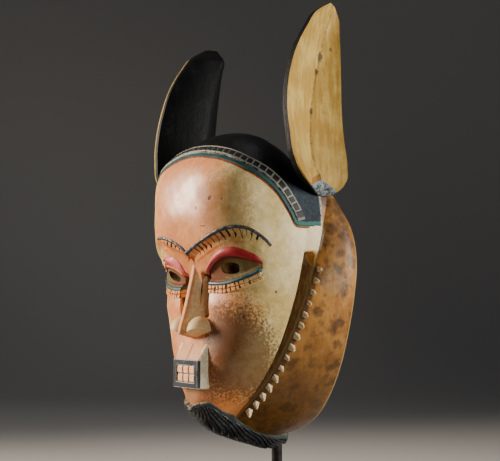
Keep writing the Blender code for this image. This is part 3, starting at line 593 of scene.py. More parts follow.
def rounded(ring, width, steps=3):
    """A ring with its corners rounded off."""
    ring = np.array(ring, float)
    before, after = np.roll(ring, 1, axis=0), np.roll(ring, -1, axis=0)
    points = []
    for corner, a, b in zip(ring, before, after):
        start = corner + (a - corner) * min(width / np.linalg.norm(a - corner), 0.45)
        end = corner + (b - corner) * min(width / np.linalg.norm(b - corner), 0.45)
        for i in range(steps + 1):
            t = i / steps
            points.append(start * (1 - t) ** 2 + corner * 2 * t * (1 - t) + end * t * t)
    return np.array(points)


def bevelled(shell, name, width, segments=2):
    """A shell's mesh with its edges rounded, which are marked on their faces as worn."""
    mesh = shell.mesh(name)
    work = bmesh.new()
    work.from_mesh(mesh)
    bmesh.ops.dissolve_limit(work, angle_limit=0.01, verts=work.verts, edges=work.edges)
    sharp = [edge for edge in work.edges if edge.calc_face_angle(0) > 0.5]
    layer = work.faces.layers.float.new("edge")
    made = bmesh.ops.bevel(work, geom=sharp, offset=width * UNIT, segments=segments, affect="EDGES",
                           clamp_overlap=True)
    for face in made["faces"]:
        face[layer] = 1.0
    work.to_mesh(mesh)
    work.free()
    return mesh


def merged(name, meshes):
    """Several meshes in one."""
    work = bmesh.new()
    for mesh in meshes:
        work.from_mesh(mesh)
        bpy.data.meshes.remove(mesh)
    whole = bpy.data.meshes.new(name)
    work.to_mesh(whole)
    work.free()
    return whole


RIDGE_HALF = 2.0
WING_MIDDLE = np.array([13.0, -70.0, -71.0])
WING_REACH = np.array([11.5, 12.0, 13.0])
UNDERSIDE = (-73.6, -84.0, -0.267, 0.329)


def nose_half(z):
    return curve([(-knot[0], knot[2]) for knot in NOSE], -z)


def bridge_shell():
    """The long bridge: a flat ridge strip and flat sides that run down into the creases."""
    ridge_y = [(-knot[0], knot[1]) for knot in NOSE]
    rings = []
    for z in np.append(np.linspace(NOSE[0][0], NOSE[-1][0], 110), [-79.0, -88.0]):
        y, half = float(curve(ridge_y, -z)), float(nose_half(z))
        ridge = RIDGE_HALF * (0.35 + 0.65 * float(ramp(-z, 0, 22))) + 0.12 * math.sin(z * 0.9)
        right = [(ridge, y, z)]
        for share in np.linspace(0.1, 1.0, 10):
            deep = y + (-62.5 - y) * share + 1.2 * share * (1 - share)
            right.append((ridge + (half - ridge) * share, deep, z))
        right.append((half, NOSE_ROOT_Y, z))
        rings.append(rounded([(-px, py, pz) for px, py, pz in right] + right[::-1], 1.1, 2))
    shell = Shell()
    shell.tube(rings)
    return shell


def wing_shell(side):
    """A leaf-shaped wing, before its underside is cut."""
    tilt = np.linspace(0, math.pi, 50)[1:-1]
    turn = np.linspace(0, 2 * math.pi, 72, endpoint=False)
    rings = []
    for t in tilt:
        ball = np.stack([np.sin(t) * np.cos(turn), np.sin(t) * np.sin(turn), np.full(72, np.cos(t))], -1)
        rings.append(mirrored(WING_MIDDLE + WING_REACH * ball, side))
    shell = Shell()
    shell.tube(rings)
    return shell


def underside_shell():
    """What is cut away below the nose, shaped like the hull of a boat upside down."""
    level, start, lean, spread = UNDERSIDE
    rings = []
    for y in (-110.0, -90.0, -80.0, -70.0, -58.5):
        z = level + lean * (y - start)
        high = z + spread * 40
        rings.append([(-40, y, high), (0, y, z), (40, y, high), (40, y, -110), (-40, y, -110)])
    shell = Shell()
    shell.tube([np.array(ring, float) for ring in rings])
    return shell


def nose_mesh():
    """A narrow straight nose with flat sides and leaf-shaped wings."""
    whole = cut(bridge_shell().mesh("nose"), [wing_shell(side).mesh("wing") for side in (1, -1)], "UNION")
    whole = cut(whole, [underside_shell().mesh("underside")])
    place = carving_place(whole)
    x, z = np.abs(place[:, 0]), place[:, 2]
    ball = np.linalg.norm((np.stack([x, place[:, 1], z], -1) - WING_MIDDLE) / WING_REACH, axis=1)
    plane = np.where(ball < 1.02, np.abs(x - nose_half(z)), 9)
    note(whole, "rim", np.minimum(plane, 9))
    return whole


def mouth_mesh():
    """The box of the mouth, from the slope of the upper lip down to the chin."""
    rings = []
    for z, front, half in (LIP_TOP, (MOUTH_TOP_Z, MOUTH_FRONT_Y, MOUTH_HALF),
                           (MOUTH_LOW_Z, MOUTH_FRONT_Y, MOUTH_HALF), MOUTH_BOTTOM):
        share = (MOUTH_ROOT_Y - front) / (MOUTH_ROOT_Y - MOUTH_FRONT_Y)
        right = [(half, front, z), (half + MOUTH_ROOT_FLARE * share, MOUTH_ROOT_Y, z)]
        rings.append(np.array([(-x, y, z) for x, y, z in right] + right[::-1]))
    shell = Shell()
    shell.tube(rings)
    return bevelled(shell, "mouth_box", 0.7)


def box_shell(low, high):
    x0, y0, z0 = low
    x1, y1, z1 = high
    shell = Shell()
    shell.tube([np.array([(x0, y0, z), (x1, y0, z), (x1, y1, z), (x0, y1, z)], float) for z in (z0, z1)])
    return shell


FRAME_WIDTH = 4.9
FRAME_HEIGHT = 1.6
FRAME_OVERHANG = 1.1
TEETH_ACROSS = 3
TEETH_DOWN = 2
TOOTH_GAP = 1.1


def mouth_frame_mesh():
    """A raised bar that runs around the teeth."""
    middle = (MOUTH_TOP_Z + MOUTH_LOW_Z) / 2
    tall = (MOUTH_TOP_Z - MOUTH_LOW_Z) / 2 + FRAME_OVERHANG
    face, root = MOUTH_FRONT_Y - FRAME_HEIGHT, MOUTH_FRONT_Y + 2.6
    shell = Shell()
    loops = []
    for inset, y in ((0, root), (0, face), (FRAME_WIDTH, face), (FRAME_WIDTH, root)):
        half, rise = MOUTH_HALF + FRAME_OVERHANG - inset, tall - inset
        loops.append(shell.add(np.array([(-half, y, middle - rise), (half, y, middle - rise),
                                         (half, y, middle + rise), (-half, y, middle + rise)])))
    for a, b in zip(loops, loops[1:] + loops[:1]):
        shell.band(a, b)
    return bevelled(shell, "mouth_frame", 0.55)


def teeth_mesh():
    """Square teeth in rows, each a little different."""
    w = FRAME_WIDTH - FRAME_OVERHANG + 0.7
    left, right = -MOUTH_HALF + w, MOUTH_HALF - w
    top, low = MOUTH_TOP_Z - w, MOUTH_LOW_Z + w
    wide = (right - left - (TEETH_ACROSS - 1) * TOOTH_GAP) / TEETH_ACROSS
    tall = (top - low - (TEETH_DOWN - 1) * TOOTH_GAP) / TEETH_DOWN
    chance = np.random.default_rng(4)
    meshes = []
    for i in range(TEETH_ACROSS):
        for j in range(TEETH_DOWN):
            x = left + i * (wide + TOOTH_GAP) + chance.uniform(-0.12, 0.12)
            z = low + j * (tall + TOOTH_GAP) + chance.uniform(-0.12, 0.12)
            front = MOUTH_FRONT_Y - 0.9 + chance.uniform(-0.15, 0.15)
            shell = box_shell((x, front, z), (x + wide, MOUTH_FRONT_Y + 2, z + tall))
            meshes.append(bevelled(shell, "tooth", 0.6))
    return merged("teeth", meshes)


def ear_mesh(side):
    """A tall cupped ear, open to the side, with a valley down its middle."""
    low, high = EAR_FRONT[0][0], EAR_FRONT[-1][0]
    thick = EAR_THICKNESS / UNIT
    rows, steps = 130, 9
    share = np.linspace(0, 1, rows)
    level = low + (high - low) * (share - 0.035 * np.sin(2 * np.pi * share))

    def read(knots):
        return np.stack([curve([(k[0], k[1]) for k in knots], level),
                         curve([(k[0], k[2]) for k in knots], level), level], -1)

    front, valley, rear = read(EAR_FRONT), read(EAR_VALLEY), read(EAR_REAR)
    full = (ramp(level, low - 2, low + 14) * (1 - ramp(level, high - 14, high + 3)))[:, None]
    t = thick * (0.35 + 0.65 * full)
    ways = np.eye(3)
    front_mid = front * 0.5 + valley * 0.5 - 1.2 * full * ways[0]
    rear_mid = rear * 0.55 + valley * 0.45 - 1.5 * full * ways[0]
    back_rear = rear - 0.9 * t * ways[0] + 1.0 * ways[1]
    back_rear_mid = rear * 0.5 + valley * 0.5 - 1.35 * t * ways[0] + 2.2 * full * ways[1]
    back_valley = valley - 1.2 * t * ways[0] + 0.5 * ways[1]
    back_front_mid = front * 0.5 + valley * 0.5 - 1.5 * t * ways[0] - 2.5 * full * ways[1]
    back_front = front - 0.9 * t * ways[0] - 1.0 * ways[1]

    def bend(a, b, c):
        """Points of a smooth bend from a by b to c, without c."""
        out = []
        for i in range(steps):
            u = i / steps
            out.append(a * (1 - u) * (1 - 2 * u) + b * 4 * u * (1 - u) + c * u * (2 * u - 1))
        return out

    columns = (bend(front, front_mid, valley) + bend(valley, rear_mid, rear)
               + [rear, rear * 0.5 + back_rear * 0.5 + 0.25 * ways[1]]
               + bend(back_rear, back_rear_mid, back_valley) + bend(back_valley, back_front_mid, back_front)
               + [back_front, front * 0.5 + back_front * 0.5 - 0.25 * ways[1]])
    rings = np.stack(columns, axis=1)
    count = rings.shape[1]
    inner = np.zeros(count)
    inner[:2 * steps + 1] = 1
    rim_at = rings[:, [0, 2 * steps]]
    edge = np.linalg.norm(rings[:, :, None] - rim_at[:, None], axis=-1).min(-1)
    groove = np.linalg.norm(rings - valley[:, None], axis=-1)
    shell = Shell()
    shell.tube(list(mirrored(rings, side)))
    mesh = shell.mesh(sided("ear", side), joined=False)
    for label, values in (("inner", np.broadcast_to(inner, (rows, count))), ("edge", edge), ("valley", groove)):
        note(mesh, label, np.concatenate([values.ravel(), [0, 0]]))
    return mesh


def beard_mesh():
    """The keel of beard under the chin, cut with strands that sweep down to the back."""
    table = np.array(BEARD, float)
    rows, sides = 300, 97
    y = np.linspace(table[0, 0], table[-1, 0], rows)[:, None]
    top, low, half = (curve(table[:, (0, column)], y) for column in (1, 2, 3))
    turn = np.linspace(0, math.pi, sides)[None]
    down = np.maximum(np.sin(turn), 0) ** 0.8
    start = table[0, 0]
    sweep = 1.4 * np.minimum(y - start, 12) + 0.42 * np.maximum(y - start - 12, 0)
    place = 25 * down - sweep + 0.9 * np.sin(0.16 * y + 3 * down)
    strand = np.abs(np.mod(place / 4.2, 1) - 0.5) * 2
    band = 0.30 + 0.10 * ramp(y, -60, 0)
    cutting = ramp(strand, 0.55, 0.95) * ramp(down, band, band + 0.07) * (1 - ramp(down, 0.985, 1.0) * 0.5)
    line = np.exp(-((down - band) / 0.03) ** 2)
    sink = 1.15 * cutting + 0.6 * line
    keep = 1 - sink / np.maximum(half, 6)
    x = half * np.cos(turn) * keep
    z = top - (top - low) * down * (1 - sink / np.maximum(top - low, 7) * (down > 0.5))
    rings = np.stack([x, y + 0 * x, z], -1)
    share = (y - start) / (table[-1, 0] - start)
    root_y = BEARD_ROOT_Y + (table[-1, 0] - BEARD_ROOT_Y) * share
    root = np.stack([np.concatenate([-half, half], 1) * 0.8, np.concatenate([root_y, root_y], 1),
                     np.concatenate([top, top], 1) + 8], -1)
    rings = np.concatenate([rings, root], axis=1)
    shell = Shell()
    shell.tube(list(rings))
    mesh = shell.mesh("beard_keel", joined=False)
    for label, values in (("down", down / band), ("strand", strand), ("cutting", cutting)):
        whole = np.concatenate([values, np.zeros((rows, 2))], 1)
        note(mesh, label, np.append(whole, [0, 0]))
    return mesh


def lid_mesh(side):
    """The raised upper lid, a crescent between two carved lines."""
    count, steps = 120, 22
    top, low = along(LID_TOP[side], count), along(LID_LOW[side], count)
    bulge = np.sin(math.pi * (np.arange(count) + 3.0) / (count + 5)) ** 0.8
    share = np.linspace(0, 1, steps)
    rise = 0.25 + 3.0 * np.sin(np.pi * share * 0.86) ** 0.75
    place = top[:, None] + (low - top)[:, None] * share[None, :, None]
    crown = carved(place, bulge[:, None] * rise[None])
    root = carved(place[:, ::-1][:, [0, -1]], np.broadcast_to([-7.0, -3.0], (count, 2)))
    rings = np.concatenate([crown, root], axis=1)
    shell = Shell()
    shell.tube(list(mirrored(rings, side)))
    mesh = shell.mesh(sided("lid", side), joined=False)
    down = np.concatenate([share, [1, 0]])
    note(mesh, "down", np.concatenate([np.broadcast_to(down, (count, steps + 2)).ravel(), [0, 0]]))
    return mesh


def wave(value, pitch, width, soft=0.25):
    """1 inside evenly spaced marks of a width, centred half a pitch from the start, and 0 between them."""
    off = np.abs(np.mod(value, pitch) - pitch / 2)
    return 1 - ramp(off, width / 2 - soft, width / 2 + soft)


BAND_LINE = [(-x, y, z) for x, y, z in HAIRLINE[:0:-1]] + HAIRLINE
LADDER_PITCH = 6.6
LADDER_FRONT, LADDER_REAR = -5.2, -11.4


def band_rise(s, t, whole):
    end = ramp(np.minimum(s, whole - s), 0, 2.5)
    orange = 0.35 * (1 - ramp(t, 1.0, 1.9)) * (t > 0)
    teal = 1.8 * ramp(t, -3.5, -2.7) * (1 - ramp(t, -0.5, 0.3))
    black = 2.1 * ramp(t, -12.7, -12.0) * (1 - ramp(t, -4.4, -3.7))
    rung = wave(s, LADDER_PITCH, 1.2) * ramp(t, LADDER_REAR - 0.4, LADDER_REAR)
    rung = rung * (1 - ramp(t, LADDER_FRONT, LADDER_FRONT + 0.4))
    rail = np.exp(-((t - LADDER_FRONT) / 0.6) ** 2) + np.exp(-((t - LADDER_REAR) / 0.6) ** 2)
    near_end = ramp(np.minimum(s, whole - s), 6, 9)
    cutting = 0.55 * np.maximum(rung, np.minimum(rail, 1)) * near_end
    return (orange + np.maximum(teal, 0.5 * (t < 0) * (t > -4.4)) + black - cutting) * end - 0.1


def band_mesh():
    line = along(BAND_LINE, 620)
    offsets = np.linspace(2.2, -13.2, 58)
    return swept("hair_band", line, offsets, band_rise)


def temple_line_mesh(side):
    line = along(TEMPLE_LINE[1:], 60)

    def rise(s, t, whole):
        tan = 0.35 * (t > 0) * (1 - ramp(t, 1.2, 2.0))
        return tan + 1.6 * ramp(t, -4.1, -3.5) * (1 - ramp(t, -0.5, 0.3)) - 0.1

    return swept(sided("temple_line", side), line, np.linspace(2.2, -4.4, 30), rise,
                 side=side)


def brow_mesh(side):
    line = along([(-1.5, -4.2)] + BROW[side], 260)

    def rise(s, t, whole):
        ridge = 1.6 * np.sqrt(np.clip(1 - (t / 1.6) ** 2, 0, 1)) * ramp(whole - s, -1, 6)
        return ridge - 0.2 + 0.12 * np.sin(s * 0.9) * (np.abs(t) < 1.1)

    return swept(sided("brow", side), line, np.linspace(-1.6, 1.6, 15), rise, side=side)


HATCH_PITCH = 6.0


def hatch_rise(s, t, whole):
    start = ramp(s, 6, 9) * ramp(whole - s, 8, 12)
    swell = 0.95 * ramp(t, 0.6, 1.4) * (1 - ramp(t, 8.0, 10.6)) * ramp(s, 0, 8) * ramp(whole - s, 0, 6)
    reach = 7.0 + 1.4 * np.sin(s * 1.7) + 0.6 * np.sin(s * 0.55)
    slanted = s - t * 0.22 + 0.5 * np.sin(s * 1.9)
    tick = wave(slanted, HATCH_PITCH, 1.5, 0.3) * (1 - ramp(t, reach - 1.0, reach)) * start
    return swell * (1 - 0.62 * tick) - 0.05


def hatch_mesh(side):
    line = along(BROW[side], 420)
    return swept(sided("brow_cuts", side), line, np.linspace(0.6, 10.8, 34), hatch_rise,
                 side=side)


def lower_line_mesh(side):
    line = along(LOWER_RIDGE[side], 150)

    def rise(s, t, whole):
        return 1.8 * np.sqrt(np.clip(1 - (t / 1.9) ** 2, 0, 1)) * ramp(np.minimum(s, whole - s), -1, 3) - 0.2

    return swept(sided("eye_line", side), line, np.linspace(-1.9, 1.9, 15), rise, side=side)


COMB_PITCH = 4.4


def comb_rise(s, t, whole):
    """Two rows of small squares under the eye."""
    end = ramp(np.minimum(s, whole - s), 0.3, 1.3)
    body = 1.4 * ramp(t, 1.2, 1.8) * (1 - ramp(t, 7.8, 8.6))
    uneven = 0.5 * np.sin(s * 0.9) + 0.3 * np.sin(s * 2.1 + t)
    tall = wave(s + uneven, COMB_PITCH, 1.1, 0.25)
    level = np.exp(-((t - 4.9 - 0.25 * np.sin(s * 0.6)) / 0.42) ** 2)
    return body * (1 - 0.66 * np.maximum(tall, level * 0.85)) * end - 0.1


def comb_mesh(side):
    line = along(LOWER_RIDGE[side], 300)
    return swept(sided("eye_comb", side), line, np.linspace(1.2, 8.8, 42), comb_rise,
                 side=side)


def set_inputs(modifier, values):
    """Give a modifier's inputs by their sockets' identifiers."""
    for item in modifier.node_group.interface.items_tree:
        if item.item_type == "SOCKET" and item.in_out == "INPUT" and item.name in values:
            modifier[item.identifier] = values[item.name]


class Tree:
    """A Geometry Nodes tree with named inputs."""

    def __init__(self, name):
        self.group = bpy.data.node_groups.new(name, "GeometryNodeTree")
        face = self.group.interface
        face.new_socket("Geometry", in_out="INPUT", socket_type="NodeSocketGeometry")
        face.new_socket("Geometry", in_out="OUTPUT", socket_type="NodeSocketGeometry")

    def add_input(self, name, kind, value=None):
        made = self.group.interface.new_socket(name, in_out="INPUT", socket_type=kind)
        if value is not None:
            made.default_value = value

    def node(self, kind, settings=None, inputs=None):
        made = self.group.nodes.new(kind)
        for key, value in (settings or {}).items():
            setattr(made, key, value)
        for key, value in (inputs or {}).items():
            if isinstance(value, bpy.types.NodeSocket):
                self.group.links.new(value, made.inputs[key])
            else:
                made.inputs[key].default_value = value
        return made


def wedge_tree():
    """Small wedges set on points, each turned by the point's own two directions."""
    tree = Tree("collar wedges")
    tree.add_input("Width", "NodeSocketFloat", 0.007)
    tree.add_input("Height", "NodeSocketFloat", 0.007)
    tree.add_input("Unevenness", "NodeSocketFloat", 0.15)
    tree.add_input("Seed", "NodeSocketInt", 3)
    tree.add_input("Finish", "NodeSocketMaterial")
    start = tree.node("NodeGroupInput")
    cone = tree.node("GeometryNodeMeshCone", {"fill_type": "NGON"},
                     {"Vertices": 4, "Side Segments": 4, "Radius Top": 0.0018,
                      "Radius Bottom": start.outputs["Width"], "Depth": start.outputs["Height"]})
    square = tree.node("GeometryNodeTransform", None,
                       {"Geometry": cone.outputs["Mesh"], "Rotation": (0, 0, math.pi / 4),
                        "Scale": (0.66, 0.52, 0.9)})
    out = tree.node("GeometryNodeInputNamedAttribute", {"data_type": "FLOAT_VECTOR"}, {"Name": "out"})
    line = tree.node("GeometryNodeInputNamedAttribute", {"data_type": "FLOAT_VECTOR"}, {"Name": "line"})
    up = tree.node("FunctionNodeAlignRotationToVector", {"axis": "Z"}, {"Vector": out.outputs["Attribute"]})
    turned = tree.node("FunctionNodeAlignRotationToVector", {"axis": "X", "pivot_axis": "Z"},
                       {"Rotation": up.outputs["Rotation"], "Vector": line.outputs["Attribute"]})
    low = tree.node("ShaderNodeMath", {"operation": "SUBTRACT"}, {0: 1.0, 1: start.outputs["Unevenness"]})
    high = tree.node("ShaderNodeMath", {"operation": "ADD"}, {0: 1.0, 1: start.outputs["Unevenness"]})
    size = tree.node("FunctionNodeRandomValue", {"data_type": "FLOAT"}, {"Seed": start.outputs["Seed"]})
    tree.group.links.new(low.outputs[0], size.inputs[2])
    tree.group.links.new(high.outputs[0], size.inputs[3])
    placed = tree.node("GeometryNodeInstanceOnPoints", None,
                       {"Points": start.outputs["Geometry"], "Instance": square.outputs["Geometry"],
                        "Rotation": turned.outputs["Rotation"], "Scale": size.outputs[1]})
    real = tree.node("GeometryNodeRealizeInstances", None, {"Geometry": placed.outputs["Instances"]})
    painted = tree.node("GeometryNodeSetMaterial", None,
                        {"Geometry": real.outputs["Geometry"], "Material": start.outputs["Finish"]})
    tree.node("NodeGroupOutput", None, {0: painted.outputs["Geometry"]})
    return tree.group


def wedge_points(side):
    """Where the wedges stand along the collar's front edge, and which way each points."""
    turn = np.linspace(-math.pi / 2, math.radians(4), 400)
    line, back = collar_rings(turn, 4)[2:4]
    length = lengths(line)
    at = np.arange(38.3, length[-1], SERRATION_PITCH / UNIT)[:15]
    i = np.clip(np.searchsorted(length, at), 1, len(line) - 2)
    tangent = unit(line[i + 1] - line[i - 1])
    rearward = unit(back[i] - line[i])
    out = outward(line)[i]
    place = line[i] + rearward * 4.2 + out * 0.1
    return mirrored(place, side), mirrored(unit(out - rearward * 0.35), side), mirrored(tangent, side)


def wedges(finish):
    parts = [wedge_points(side) for side in (1, -1)]
    place, out, line = (np.concatenate([part[k] for part in parts]) for k in range(3))
    mesh = bpy.data.meshes.new("collar_wedges")
    mesh.from_pydata((place * UNIT + MASK_ORIGIN).tolist(), [], [])
    for name, values in (("out", out), ("line", line)):
        made = mesh.attributes.new(name, "FLOAT_VECTOR", "POINT")
        made.data.foreach_set("vector", values.astype(np.float32).ravel())
    source = bpy.data.objects.new("collar_wedges", mesh)
    bpy.context.collection.objects.link(source)
    step = source.modifiers.new("wedges", "NODES")
    step.node_group = wedge_tree()
    set_inputs(step, {"Width": 0.0062, "Height": 0.0072, "Unevenness": 0.16, "Seed": 3,
                      "Finish": finish.material})
    graph = bpy.context.evaluated_depsgraph_get()
    graph.update()
    result = bpy.data.meshes.new_from_object(source.evaluated_get(graph))
    bpy.data.objects.remove(source)
    work = bmesh.new()
    work.from_mesh(result)
    bmesh.ops.bevel(work, geom=work.edges[:], offset=0.0004, segments=2, affect="EDGES", clamp_overlap=True)
    work.to_mesh(result)
    work.free()
    result.name = "collar_wedges"
    new_piece(result, finish)


class Wire:
    """A node's output, which Python's operators work on by adding Math nodes."""

    def __init__(self, finish, socket):
        self.finish = finish
        self.socket = socket

    def math(self, operation, *others):
        return self.finish.node("ShaderNodeMath", {"operation": operation},
                                {i: value for i, value in enumerate((self,) + others)})

    def __add__(self, other):
        return self.math("ADD", other)

    __radd__ = __add__

    def __sub__(self, other):
        return self.math("SUBTRACT", other)

    def __rsub__(self, other):
        return self.finish.node("ShaderNodeMath", {"operation": "SUBTRACT"}, {0: other, 1: self})

    def __mul__(self, other):
        return self.math("MULTIPLY", other)

    __rmul__ = __mul__

    def __truediv__(self, other):
        return self.math("DIVIDE", other)

    def __abs__(self):
        return self.math("ABSOLUTE")

    def __neg__(self):
        return self * -1.0

    def low(self, other):
        return self.math("MINIMUM", other)

    def high(self, other):
        return self.math("MAXIMUM", other)


class Finish:
    """One material, whose nodes are made by Python expressions."""

    def __init__(self, name):
        self.material = bpy.data.materials.new(name)
        self.material.use_nodes = True
        self.tree = self.material.node_tree
        self.tree.nodes.clear()
        place = self.node("ShaderNodeTexCoord", out="Object")
        here = self.vector("SUBTRACT", place, tuple(MASK_ORIGIN))
        self.place = self.node("ShaderNodeVectorMath", {"operation": "SCALE"}, {0: here, "Scale": 1 / UNIT})
        parts = [self.node("ShaderNodeSeparateXYZ", None, {0: self.place}, out=way) for way in "XYZ"]
        self.x, self.y, self.z = parts

    def node(self, kind, settings=None, inputs=None, out=0):
        made = self.tree.nodes.new(kind)
        for key, value in (settings or {}).items():
            setattr(made, key, value)
        for key, value in (inputs or {}).items():
            if isinstance(value, Wire):
                self.tree.links.new(value.socket, made.inputs[key])
            else:
                made.inputs[key].default_value = value
        return Wire(self, made.outputs[out])

    def vector(self, operation, a, b):
        return self.node("ShaderNodeVectorMath", {"operation": operation}, {0: a, 1: b})

    def level(self, share, a, b):
        """A number between two others."""
        return self.node("ShaderNodeMix", {"data_type": "FLOAT"}, {0: share, 2: a, 3: b})

    def mix(self, share, a, b):
        return self.node("ShaderNodeMix", {"data_type": "RGBA"}, {0: share, 6: a, 7: b}, out=2)

    def tint(self, colour, share):
        """A colour made darker or lighter by a value around 1."""
        grey = self.node("ShaderNodeCombineXYZ", None, {0: share, 1: share, 2: share})
        return self.node("ShaderNodeMix", {"data_type": "RGBA", "blend_type": "MULTIPLY"},
                         {0: 1.0, 6: colour, 7: grey}, out=2)

    def step(self, value, low, high):
        """0 below low, 1 above high, smooth between them."""
        return self.node("ShaderNodeMapRange", {"interpolation_type": "SMOOTHSTEP"},
                         {"Value": value, "From Min": low, "From Max": high})

    def noise(self, size, detail=3.0, stretch=None, rough=0.55, shift=0.0):
        """Noise whose patches are about size across, in carving units."""
        place = self.place
        if stretch or shift:
            place = self.node("ShaderNodeMapping", None, {"Vector": place,
                              "Location": (shift, shift * 0.7, -shift),
                                                          "Scale": stretch or (1, 1, 1)})
        return self.node("ShaderNodeTexNoise", None, {"Vector": place, "Scale": 1 / size, "Detail": detail,
                                                      "Roughness": rough})

    def cells(self, size, bent, shift=0.0):
        """Distance to the nearest of scattered points, over their spacing."""
        sway = self.node("ShaderNodeTexNoise", None, {"Vector": self.place, "Scale": 0.9 / size, "Detail": 3.0},
                         out="Color")
        off = self.vector("SUBTRACT", sway, (0.5, 0.5, 0.5))
        far = self.node("ShaderNodeVectorMath", {"operation": "SCALE"}, {0: off, "Scale": bent * size})
        place = self.vector("ADD", self.vector("ADD", self.place, far), (shift, -shift, shift))
        return self.node("ShaderNodeTexVoronoi", None, {"Vector": place, "Scale": 1 / size})

    def spot(self, place, reach, stretch=(1, 1, 1)):
        """1 around a place on the carving and 0 past its reach, where stretch divides the distances."""
        away = self.vector("DIVIDE", self.vector("SUBTRACT", self.place, place), stretch)
        far = self.node("ShaderNodeVectorMath", {"operation": "LENGTH"}, {0: away}, out="Value")
        return 1 - self.step(far + (self.noise(2.2, 2, shift=41) - 0.5) * reach * 0.9, reach * 0.45, reach * 0.8)

    def value(self, name):
        return self.node("ShaderNodeAttribute", {"attribute_name": name}, out="Fac")

    def coat(self, colour, rough, height=None, coat=0.0, coat_rough=0.2, metal=0.0, specular=0.3):
        """The surface itself: height is in carving units."""
        inputs = {"Base Color": colour, "Roughness": rough, "Coat Weight": coat, "Coat Roughness": coat_rough,
                  "Metallic": metal, "Specular IOR Level": specular}
        if height is not None:
            relief = {"Strength": 1.0, "Distance": UNIT, "Height": height}
            inputs["Normal"] = self.node("ShaderNodeBump", None, relief)
        shader = self.node("ShaderNodeBsdfPrincipled", None, inputs)
        made = self.tree.nodes.new("ShaderNodeOutputMaterial")
        self.tree.links.new(shader.socket, made.inputs["Surface"])
        return self


def paint(*parts):
    """A colour as a paint chart gives it, from 0 to 255."""
    parts = [c / 255 for c in parts]
    return tuple(c / 12.92 if c < 0.0405 else ((c + 0.055) / 1.055) ** 2.4 for c in parts) + (1.0,)


CREAM = paint(194, 164, 90)
PALE = paint(220, 198, 140)
SALMON = paint(216, 134, 70)
DEEP_SALMON = paint(178, 94, 44)
RAW_WOOD = paint(152, 120, 72)
DARK_WOOD = paint(112, 82, 46)
OCHRE = paint(154, 98, 34)
LIGHT_OCHRE = paint(184, 130, 58)
SPOT = paint(56, 34, 16)
HAIR = paint(6, 7, 8)
SLATE = paint(22, 32, 40)
PALE_SLATE = paint(46, 60, 70)
TEAL = paint(30, 84, 76)
DEEP_TEAL = paint(26, 62, 72)
BLUE_BLACK = paint(30, 36, 46)
CRIMSON = paint(148, 18, 26)
ROSE = paint(198, 84, 84)
CHALK = paint(206, 200, 184)
OLIVE = paint(98, 80, 40)
BROWN = paint(112, 64, 26)
PEACH = paint(198, 128, 76)

# Painted light and shade on the face: a peach cheek, partly paint and partly painted warm light, and painted
# shade on the low cheek, beside the nose wing, on the chin and across the forehead's near side: the place, its
# reach and stretch, how much, and the colour
FACE_LIGHT_AND_SHADE = [((42, -62, -58), 44, (1.1, 1.0, 0.95), 0.7, PEACH),
               ((46, -55, -92), 62, (0.75, 1.0, 1.15), 0.8, paint(80, 50, 20)),
               ((36, -66, -72), 32, (0.8, 1, 1.2), 0.5, paint(88, 50, 26)),
               ((1, -62, -117), 36, (1, 1, 1), 0.7, paint(124, 80, 46)),
               ((51, -75, 33), 44, (0.8, 1, 1.2), 0.42, BROWN)]


FACE_NICKS = [((-1.2, -84.4, 44.6), 1.6, (1, 1, 1.6)), ((40.5, -80.5, 42.6), 3.4, (1, 1, 0.8)),
              ((51.1, -75.9, 41.1), 1.6, (1, 1, 1)), ((24.3, -83.3, 35.3), 2.0, (1, 1, 1)),
              ((31.1, -80.8, 19.4), 1.1, (5, 2, 0.6)), ((49.9, -60.7, -56.6), 1.7, (0.8, 1, 2.2)),
              ((55.6, -56.6, -58.2), 1.9, (1.2, 1.2, 1)), ((74.3, -35.8, -37.1), 1.6, (1, 1, 1))]


def face_colour(finish):
    """The cream paint of the face with a salmon middle that is partly paint and partly painted warm light,
    rubbed and speckled.
    """
    wide = finish.noise(34, 3)
    close = finish.noise(6, 4)
    fine = finish.noise(1.5, 4, rough=0.7)
    # The salmon middle: partly paint, partly painted warm light on the front of the face
    side = abs(finish.x) + (wide - 0.5) * 34 + (close - 0.5) * 14
    low = finish.step(finish.z, -150, -60)
    centre = 1 - finish.step(side - low * 6, 30, 58)
    body = finish.mix(finish.step(wide + close * 0.5, 0.55, 0.95), CREAM, PALE)
    warm = finish.mix(finish.step(close * 0.6 + wide * 0.6, 0.45, 0.8), DEEP_SALMON, SALMON)
    warm = finish.mix(0.55, SALMON, warm)
    colour = finish.mix(centre * 0.92, body, warm)
    # Lay the painted light and shade of the table above over the paint
    for place, reach, stretch, strength, shade in FACE_LIGHT_AND_SHADE:
        colour = finish.mix(finish.spot(place, reach, stretch) * strength, colour, shade)
    colour = finish.tint(colour, 0.80 + close * 0.24 + fine * 0.18)
    # Fine dark specks, most on the cream sides: painted shade of light raking over the grain of the paint
    speck = finish.step(fine + close * 0.25, 0.76, 0.90) * (0.55 - centre * 0.25)
    colour = finish.mix(speck, colour, paint(120, 92, 44))
    pit = finish.step(finish.noise(3.2, 2, shift=7), 0.735, 0.775)
    colour = finish.mix(pit * 0.55, colour, paint(96, 62, 40))
    streak = finish.step(finish.noise(5, 3, (2.6, 2.6, 0.42), shift=31), 0.68, 0.79)
    colour = finish.mix(streak * 0.4, colour, paint(120, 66, 34))
    for place, reach, stretch in FACE_NICKS:
        nick = finish.spot(place, reach, stretch)
        colour = finish.mix(nick * 0.75, colour, paint(74, 42, 24))
        pit = pit.high(nick)
    chips = finish.step(finish.noise(4.5, 4, rough=0.7, shift=51), 0.60, 0.66)
    chips = chips * finish.spot((25, -52, -131), 34)
    colour = finish.mix(chips * 0.8, colour, paint(176, 96, 34))
    height = close * 0.22 + fine * 0.10 - pit * 0.35 + wide * 0.5
    rough = 0.40 + fine * 0.14 + pit * 0.2
    return colour, height, rough


